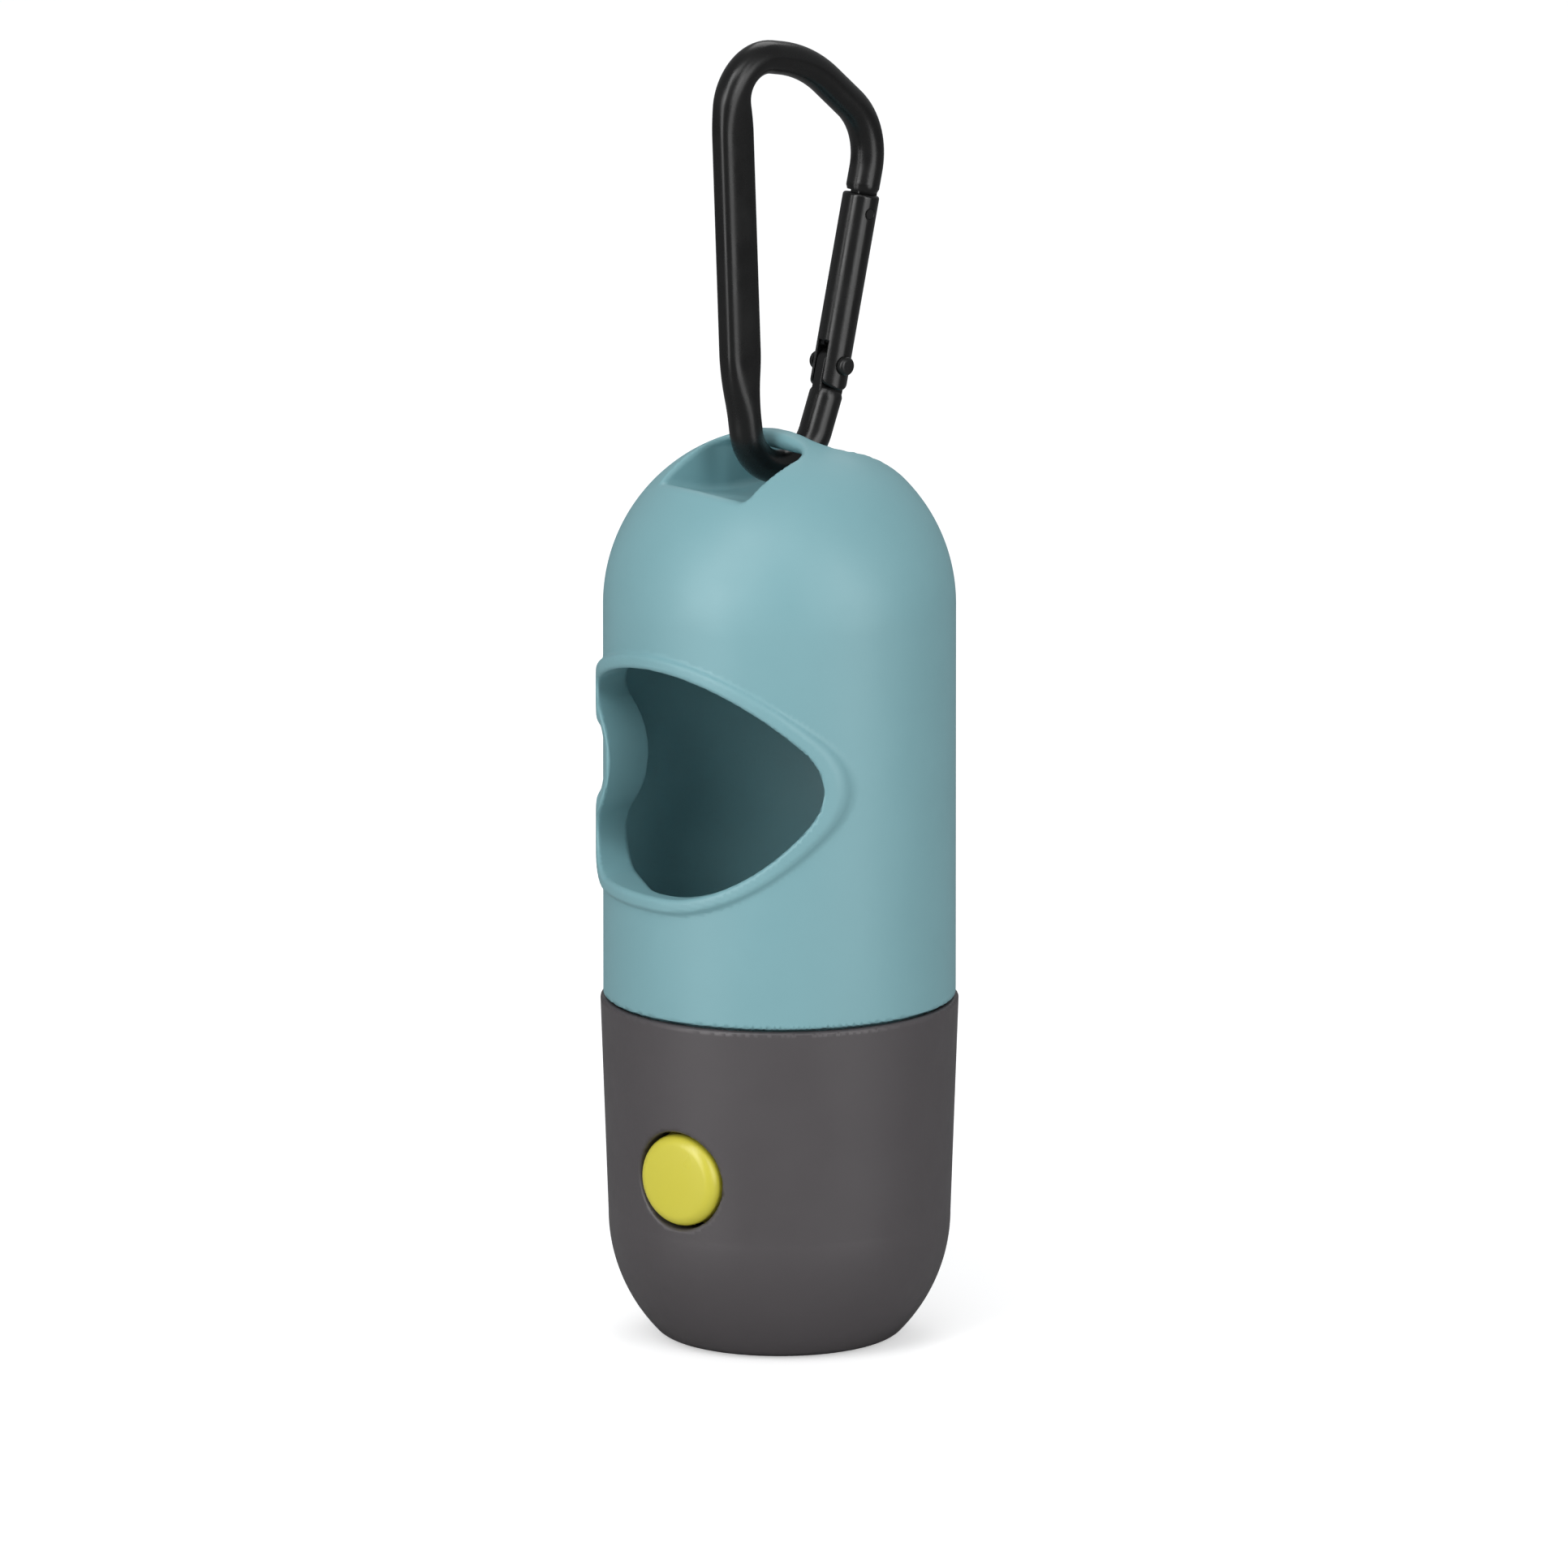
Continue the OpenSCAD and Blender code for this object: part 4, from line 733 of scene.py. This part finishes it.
for axis, wanted in (("X", "Spine width"), ("Y", None), ("Z", "Spine thickness")):
    part_of = parts.outputs[axis]
    if wanted is None:
        flat_offset.append(part_of)
        continue
    share = maths(bar_tree, "DIVIDE", part_of, half_bar)
    squared = maths(bar_tree, "MULTIPLY", maths(bar_tree, "SIGN", share),
                    maths(bar_tree, "POWER", maths(bar_tree, "ABSOLUTE", share), power))
    half_wanted = maths(bar_tree, "MULTIPLY", given.outputs[wanted], 0.5)
    reach = maths(bar_tree, "ADD", half_bar,
                  maths(bar_tree, "MULTIPLY", maths(bar_tree, "SUBTRACT", half_wanted, half_bar), flat))
    flat_offset.append(maths(bar_tree, "MULTIPLY", squared, reach))
new_offset = add(bar_tree, "ShaderNodeCombineXYZ",
                 X=flat_offset[0], Y=flat_offset[1], Z=flat_offset[2])
new_place = add(bar_tree, "ShaderNodeVectorMath", {"operation": "ADD"},
                i0=kept.outputs[1], i1=new_offset.outputs[0])
pressed = add(bar_tree, "GeometryNodeSetPosition",
              Geometry=tube.outputs[0], Position=new_place.outputs[0])
close_tree(bar_tree, given, pressed.outputs[0])

bar = line_object("carabiner_bar", bar_line)
grow(bar, bar_tree, bar_look, bar_sizes)
bar = to_mesh(bar, loop_place)
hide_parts("carabiner_frame")
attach(bar, "carabiner")

# ---------------------------------------------------------------- carabiner tongues
# The bar's two ends are milled to thin tongues. The lower one takes the hinge pin, and
# the upper one has the hooked notch that catches the gate's latch pin.
gate_place = (loop_place @ Matrix.Translation((pivot[0] / 1000, pivot[1] / 1000, 0))
              @ Matrix.Rotation(-gate_lean, 4, "Z"))
tongue_half_t = 0.75
tongue_r = 1.9
foot_half_l = 1.8
nose_in, nose_mid, nose_half_l = 1.2, 18.9, 2.3
latch_at = 18.3
hook_r, hook_rise, hook_mouth = 0.75, 0.15, 0.1
pin_hole_r = 0.81


def tongue_shape(x, y, z):
    slab = np.abs(z) - tongue_half_t
    foot = np.maximum(np.abs(x) - tongue_r, np.abs(y + foot_half_l) - foot_half_l)
    foot = np.minimum(np.hypot(x, y) - tongue_r, foot)
    nose_plate = np.maximum(np.maximum(-nose_in - x, x - tongue_r),
                            np.abs(y - nose_mid) - nose_half_l)
    from_hook = np.abs(y - latch_at - hook_rise)
    hook = np.minimum(np.hypot(x, y - latch_at), from_hook + np.maximum(x, 0)) - hook_r
    slot = np.maximum(from_hook - hook_r - hook_mouth, x)
    nose_plate = both(nose_plate, -np.minimum(hook, slot), 0.15)
    return both(np.minimum(both(foot, pin_hole_r - np.hypot(x, y)), nose_plate), slab, 0.15)


tongues = moulded("carabiner_tongues", tongue_shape, (-1.9, -3.7, -0.8), (1.9, 21.3, 0.8), 0.14)
tongues.data.transform(gate_place)
tongues.data.materials.append(bar_look)
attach(tongues, "carabiner")

# ---------------------------------------------------------------- gate
# The carabiner's gate: a short round bar of the same black anodised aluminium, slotted
# at both ends, bored for its spring and held by the rivet at its foot.
gate_r = gate_d / 2
slot_half_w = 0.85
gate_bore_r, latch_hole_r = 1.3, 0.62
low_slot_l, top_slot_l, top_slot_in = 0.4, 4.5, 1.6


def gate_shape(x, y, z):
    r = np.hypot(x, z)
    bar = both(r - gate_r, y - gate_l, 0.35)
    bar = both(bar, np.where(y < 0, np.hypot(x, y) - gate_foot, -gate_r), 0.3)
    bore = np.maximum(r - gate_bore_r, gate_r - y)
    low_slot = np.maximum(np.abs(z) - slot_half_w, y - gate_r - low_slot_l)
    top_slot = np.maximum(np.abs(z) - slot_half_w, gate_l - top_slot_l - y)
    top_slot = np.maximum(top_slot, -top_slot_in - x)
    pins = np.minimum(np.hypot(x, y) - pin_hole_r, np.hypot(x, y - latch_at) - latch_hole_r)
    return both(bar, -np.minimum(np.minimum(bore, pins), np.minimum(low_slot, top_slot)), 0.15)


gate = moulded("gate_skin", gate_shape, (-2.2, -3.0, -2.2), (2.2, 20.5, 2.2), 0.14)
gate.data.transform(gate_place)
# The same dyed oxide, rubbed a little smoother by the thumb that opens the gate.
gate_look = anodised("black_anodised_gate", "#101010", 0.24)
gate.data.materials.append(gate_look)
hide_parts("gate_tube")
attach(gate, "gate")

# ---------------------------------------------------------------- hinge pin
# The rivet through the gate and the frame: a black steel pin whose two ends are
# hammered into low domes.
pin_head_r, pin_head_low, pin_head_high = 1.15, 2.22, 3.0
pin_r, pin_overlap = 0.75, 0.1


def pin_shape(x, y, z):
    r = np.hypot(x, y)
    head = both(r - pin_head_r, np.abs(z) - pin_head_high, 0.5)
    head = np.maximum(head, pin_head_low - np.abs(z))
    return np.minimum(head, np.maximum(r - pin_r, np.abs(z) - pin_head_low - pin_overlap))


pin = moulded("hinge_pin_skin", pin_shape, (-1.2, -1.2, -3.0), (1.2, 1.2, 3.0), 0.08)
pin.data.transform(gate_place)
# Black oxide on steel, a shade greyer than the anodised bar.
pin_look = anodised("black_oxide_steel", "#191919", 0.3)
pin.data.materials.append(pin_look)
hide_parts("hinge_pin")
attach(pin, "carabiner")


def metal(name, colour, roughness, streak_mm, along=(1, 1, 1)):
    """Bare or plated metal: a reflective body with fine drawn streaks along one way and
    patches that handling has dulled."""
    look, tree, shader, place = new_look(name)
    stretched = add(tree, "ShaderNodeMapping", Vector=place, Scale=along)
    streak = add(tree, "ShaderNodeTexNoise", Vector=stretched.outputs[0],
                 Scale=1000 / streak_mm, Detail=2.0)
    patch = add(tree, "ShaderNodeTexNoise", Vector=place, Scale=250.0, Detail=3.0)
    dress(tree, shader, colour, (patch, 0.86, 1.06), (patch, roughness * 0.8, roughness * 1.3),
          (streak, 0.15, 0.00002))
    shader.inputs["Metallic"].default_value = 1.0
    return look


def finish_node(name, look):
    """Gives a piece that keeps its CAD shape its real finish."""
    piece = nodes[name]
    piece.data.materials.clear()
    piece.data.materials.append(look)


# ---------------------------------------------------------------- gate's inner pieces
# The latch pin is a short black steel wire across the gate's top. The plunger and the
# coil that shuts the gate are spring steel, and the coil is wound from one wire.
finish_node("latch_pin", pin_look)
# Spring steel wire, drawn and oiled: dark, with fine lines along the wire.
spring_look = metal("drawn_spring_steel", "#8E9296", 0.3, 0.08, (1, 1, 0.2))
finish_node("gate_plunger", spring_look)

coil_tree, given = new_tree("wound_coil", ("Wire", "Start radius", "End radius", "Length", "Turns"))
spiral = add(coil_tree, "GeometryNodeCurveSpiral", Resolution=40, Rotations=given.outputs["Turns"],
             Start_Radius=given.outputs["Start radius"], End_Radius=given.outputs["End radius"],
             Height=given.outputs["Length"])
wire = add(coil_tree, "GeometryNodeCurvePrimitiveCircle", Resolution=14,
           Radius=maths(coil_tree, "MULTIPLY", given.outputs["Wire"], 0.5))
wound = add(coil_tree, "GeometryNodeCurveToMesh", Curve=spiral.outputs[0], Profile_Curve=wire.outputs[0])
wound.inputs["Fill Caps"].default_value = True
close_tree(coil_tree, given, wound.outputs[0])


def coil(name, place, look, **sizes):
    """One coil spring, wound along its own Z from the origin."""
    made = line_object(name, [(0, 0), (0, 1)])
    grow(made, coil_tree, look, {key.replace("_", " "): value for key, value in sizes.items()})
    made = to_mesh(made, place)
    return made


gate_coil = coil("gate_spring_coil",
                 gate_place @ Matrix.Translation((0, 0.00465, 0))
                 @ Matrix.Rotation(math.radians(-90), 4, "X"),
                 spring_look, Wire=0.0004, Start_radius=0.001, End_radius=0.001,
                 Length=0.01105, Turns=9)
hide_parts("gate_spring")
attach(gate_coil, "gate")

# ---------------------------------------------------------------- battery contacts
# A tapered coil presses the cells from the left. Both contact strips are stamped from
# nickel-plated steel, and the cells have stainless cans with a trace of turning marks.
cap_place = Matrix.Rotation(cap_turn, 4, "Z")
nickel_look = metal("nickel_plated_steel", "#C4C2B8", 0.22, 0.15, (0.15, 1, 1))
contact_coil = coil("contact_spring_coil",
                    cap_place @ Matrix.Translation((-0.0094, 0.0046, 0.0236))
                    @ Matrix.Rotation(math.radians(90), 4, "Y"),
                    nickel_look, Wire=0.0005, Start_radius=0.0042, End_radius=0.0021,
                    Length=0.0026, Turns=3)
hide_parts("contact_spring")
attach(contact_coil, "cap")
for name in ("spring_strip", "contact_plate"):
    finish_node(name, nickel_look)
# Stainless can of a button cell, pressed from sheet: bright, with fine drawn lines.
cell_look = metal("stainless_cell_can", "#B9BBBD", 0.2, 0.12, (0.1, 1, 1))
for index in (1, 2, 3):
    finish_node("button_cell_%d" % index, cell_look)
# The tray is moulded in the cap's own warm grey, in a cheaper dull finish.
finish_node("battery_tray", plastic("moulded_abs_dull_grey", "#4A4749", 0.55, 0.05, 0.6, 0.00004))

# ---------------------------------------------------------------- torch
# A clear acrylic lens fills the window in the flat base. Behind it stands a moulded
# reflector with a bright vacuum coat, round a lamp with a clear dome.
lens_low, lens_flange_low, lens_top, window_r, lens_r = 0.4, 1.7, 2.9, 9.2, 10.3


def lens_shape(x, y, z):
    r = np.hypot(x, y)
    face = both(r - window_r, lens_low - z, 0.35)
    flange = both(r - lens_r, lens_flange_low - z, 0.2)
    return both(np.minimum(face, flange), z - lens_top, 0.2)


lens = moulded("lens_skin", lens_shape, (-10.3, -10.3, 0.4), (10.3, 10.3, 2.9), 0.22)
# Clear acrylic: polished, with the faint waves that a cooling mould leaves and fine
# hazy rubs from pockets and tables.
lens_look, lens_tree, lens_shader, lens_place = new_look("clear_acrylic")
lens_shader.inputs["Base Color"].default_value = linear("#F2F6F7")
lens_shader.inputs["Transmission Weight"].default_value = 1.0
lens_shader.inputs["IOR"].default_value = 1.49
rubs = add(lens_tree, "ShaderNodeTexNoise", Vector=lens_place, Scale=700.0, Detail=5.0)
haze = add(lens_tree, "ShaderNodeMapRange", Value=rubs.outputs["Fac"],
           From_Min=0.45, From_Max=0.75, To_Min=0.02, To_Max=0.12)
lens_tree.links.new(haze.outputs[0], lens_shader.inputs["Roughness"])
waves = add(lens_tree, "ShaderNodeTexNoise", Vector=lens_place, Scale=180.0, Detail=1.0)
wavy = add(lens_tree, "ShaderNodeBump", Strength=0.1, Distance=0.00005,
           Height=waves.outputs["Fac"])
lens_tree.links.new(wavy.outputs[0], lens_shader.inputs["Normal"])
lens.data.materials.append(lens_look)
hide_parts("lens")
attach(lens, "optics")

reflector_low, reflector_top, lamp_hole_r = 2.9, 8.9, 2.6
bowl_foot, bowl_rim_r = 0.8, 9.4
back_foot, back_rim_r, back_reach = 2.15, 10.0, 1.12
rim_half_t, rim_r = 0.5, 10.3
steepness = 0.6


def reflector_shape(x, y, z):
    r = np.hypot(x, y)
    depth = np.clip((z - reflector_low) / (reflector_top - 1 - reflector_low), -1, 1.5)
    bowl = (r - (lamp_hole_r + bowl_foot)
            - (bowl_rim_r - lamp_hole_r - bowl_foot) * np.sqrt(np.maximum(1 - depth, 0)))
    rim = np.maximum(np.abs(z - reflector_low - rim_half_t) - rim_half_t, r - rim_r)
    back = (r - (lamp_hole_r + back_foot) - (back_rim_r - lamp_hole_r - back_foot)
            * np.sqrt(np.maximum(back_reach - depth, 0) / back_reach))
    body = np.minimum(np.maximum(back, reflector_low - z) * steepness, rim)
    body = np.maximum(body, z - reflector_top)
    return np.maximum(np.maximum(body, -bowl * steepness), lamp_hole_r - r)


reflector = moulded("reflector_skin", reflector_shape, (-10.3, -10.3, 2.9), (10.3, 10.3, 8.9), 0.26)
# Aluminium vapour on polished plastic: a mirror with hardly any grain.
mirror_look = metal("vacuum_coated_aluminium", "#D9DBDE", 0.07, 0.4)
reflector.data.materials.append(mirror_look)
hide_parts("reflector")
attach(reflector, "optics")

# The lamp's dome is water-clear epoxy over a pale phosphor.
finish_node("led_lamp", plastic("lamp_epoxy", "#EDEBD2", 0.12, 0.04, 0.8, 0.00001))
# Tinned copper legs: soft, dull and a little wavy.
finish_node("led_leads", metal("tinned_copper", "#B7B9BA", 0.34, 0.3))

# ---------------------------------------------------------------- circuit board and switch
# A glass-fibre board with green solder mask carries the tact switch, whose black
# housing has a steel cover, and one small resistor.
board_look, board_nodes, board_shader, board_place = new_look("solder_mask_on_glass_fibre")
# The mask lets the glass weave show through as a faint grid of about 0.5 mm.
weave = add(board_nodes, "ShaderNodeTexChecker", Vector=board_place, Scale=2000.0,
            Color1=linear("#2F6B45"), Color2=linear("#2B6340"))
board_nodes.links.new(weave.outputs["Color"], board_shader.inputs["Base Color"])
board_bump = add(board_nodes, "ShaderNodeBump", Strength=0.2, Distance=0.00002,
                 Height=weave.outputs["Fac"])
board_nodes.links.new(board_bump.outputs[0], board_shader.inputs["Normal"])
board_shader.inputs["Roughness"].default_value = 0.28
finish_node("circuit_board", board_look)
# Black nylon, moulded without polish; the resistor's body is fired ceramic.
black_look = plastic("moulded_nylon_black", "#202022", 0.5, 0.08, 0.4, 0.00003)
finish_node("switch_body", black_look)
finish_node("resistor", plastic("fired_ceramic_black", "#1B1C1F", 0.38, 0.1, 0.3, 0.00003))
finish_node("switch_cover", nickel_look)
finish_node("switch_plunger", plastic("moulded_nylon_brown", "#9A7B55", 0.42, 0.05, 0.4, 0.00003))

# ---------------------------------------------------------------- inner cover and screws
# The disc that closes the torch off from the bags, in the cap's grey, with three small
# zinc-plated screws sunk in it. Each screw stands at its own turn.
finish_node("inner_cover", plastic("moulded_abs_cover_grey", "#555153", 0.48, 0.05, 0.5, 0.00004))
screw_ring_r = 16.0
screw_top = 33.4
head_r, head_t, shank_r, shank_l = 1.9, 1.0, 1.0, 7.0
cross_l, cross_half_w, cross_draft, cross_depth = 1.15, 0.2, 0.1, 0.5
screw_pitch, groove_half, shank_top = 0.9, 0.12, 0.6


def screw_shape(x, y, z):
    r = np.hypot(x, y)
    head = both(both(r - head_r, z, 0.35), -head_t - z, 0.15)
    arm = np.minimum(np.maximum(np.abs(x) - cross_l, np.abs(y) - cross_half_w - z * cross_draft),
                     np.maximum(np.abs(y) - cross_l, np.abs(x) - cross_half_w - z * cross_draft))
    head = np.maximum(head, -np.maximum(arm, -cross_depth - z))
    turn = 2 * math.pi * z / screw_pitch - np.arctan2(y, x)
    shank = both(r - shank_r + groove_half + groove_half * np.cos(turn),
                 -head_t - shank_l - z, 0.3)
    return np.minimum(head, np.maximum(shank, z + shank_top))


screw = moulded("screw_pattern", screw_shape, (-1.9, -1.9, -8.0), (1.9, 1.9, 0.0), 0.12)
# Zinc plate over steel, a little blue and uneven.
screw_look = metal("zinc_plated_steel", "#B4B8BC", 0.25, 0.2)
screw_sizes = {"Ring radius": screw_ring_r / 1000, "Screws": 3, "Loose turn": 2 * math.pi}
screw_tree, given = new_tree("screw_ring", screw_sizes)
ring_points = add(screw_tree, "GeometryNodeMeshCircle", Vertices=given.outputs["Screws"],
                  Radius=given.outputs["Ring radius"])
own_turn = add(screw_tree, "FunctionNodeRandomValue", {"data_type": "FLOAT"}, i2=0.0,
               i3=given.outputs["Loose turn"], i8=7)
turn_vector = add(screw_tree, "ShaderNodeCombineXYZ", Z=own_turn.outputs[1])
turn_value = add(screw_tree, "FunctionNodeEulerToRotation", i0=turn_vector.outputs[0])
screws_set = add(screw_tree, "GeometryNodeInstanceOnPoints", Points=ring_points.outputs[0],
                 Instance=given.outputs["Geometry"], Rotation=turn_value.outputs[0])
close_tree(screw_tree, given, screws_set.outputs[0])
grow(screw, screw_tree, screw_look, screw_sizes)
screws = to_mesh(screw, cap_place @ Matrix.Rotation(math.radians(90), 4, "Z")
                 @ Matrix.Translation((0, 0, screw_top / 1000)))
screws.name = "cover_screw_set"
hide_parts("cover_screws")
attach(screws, "cap")
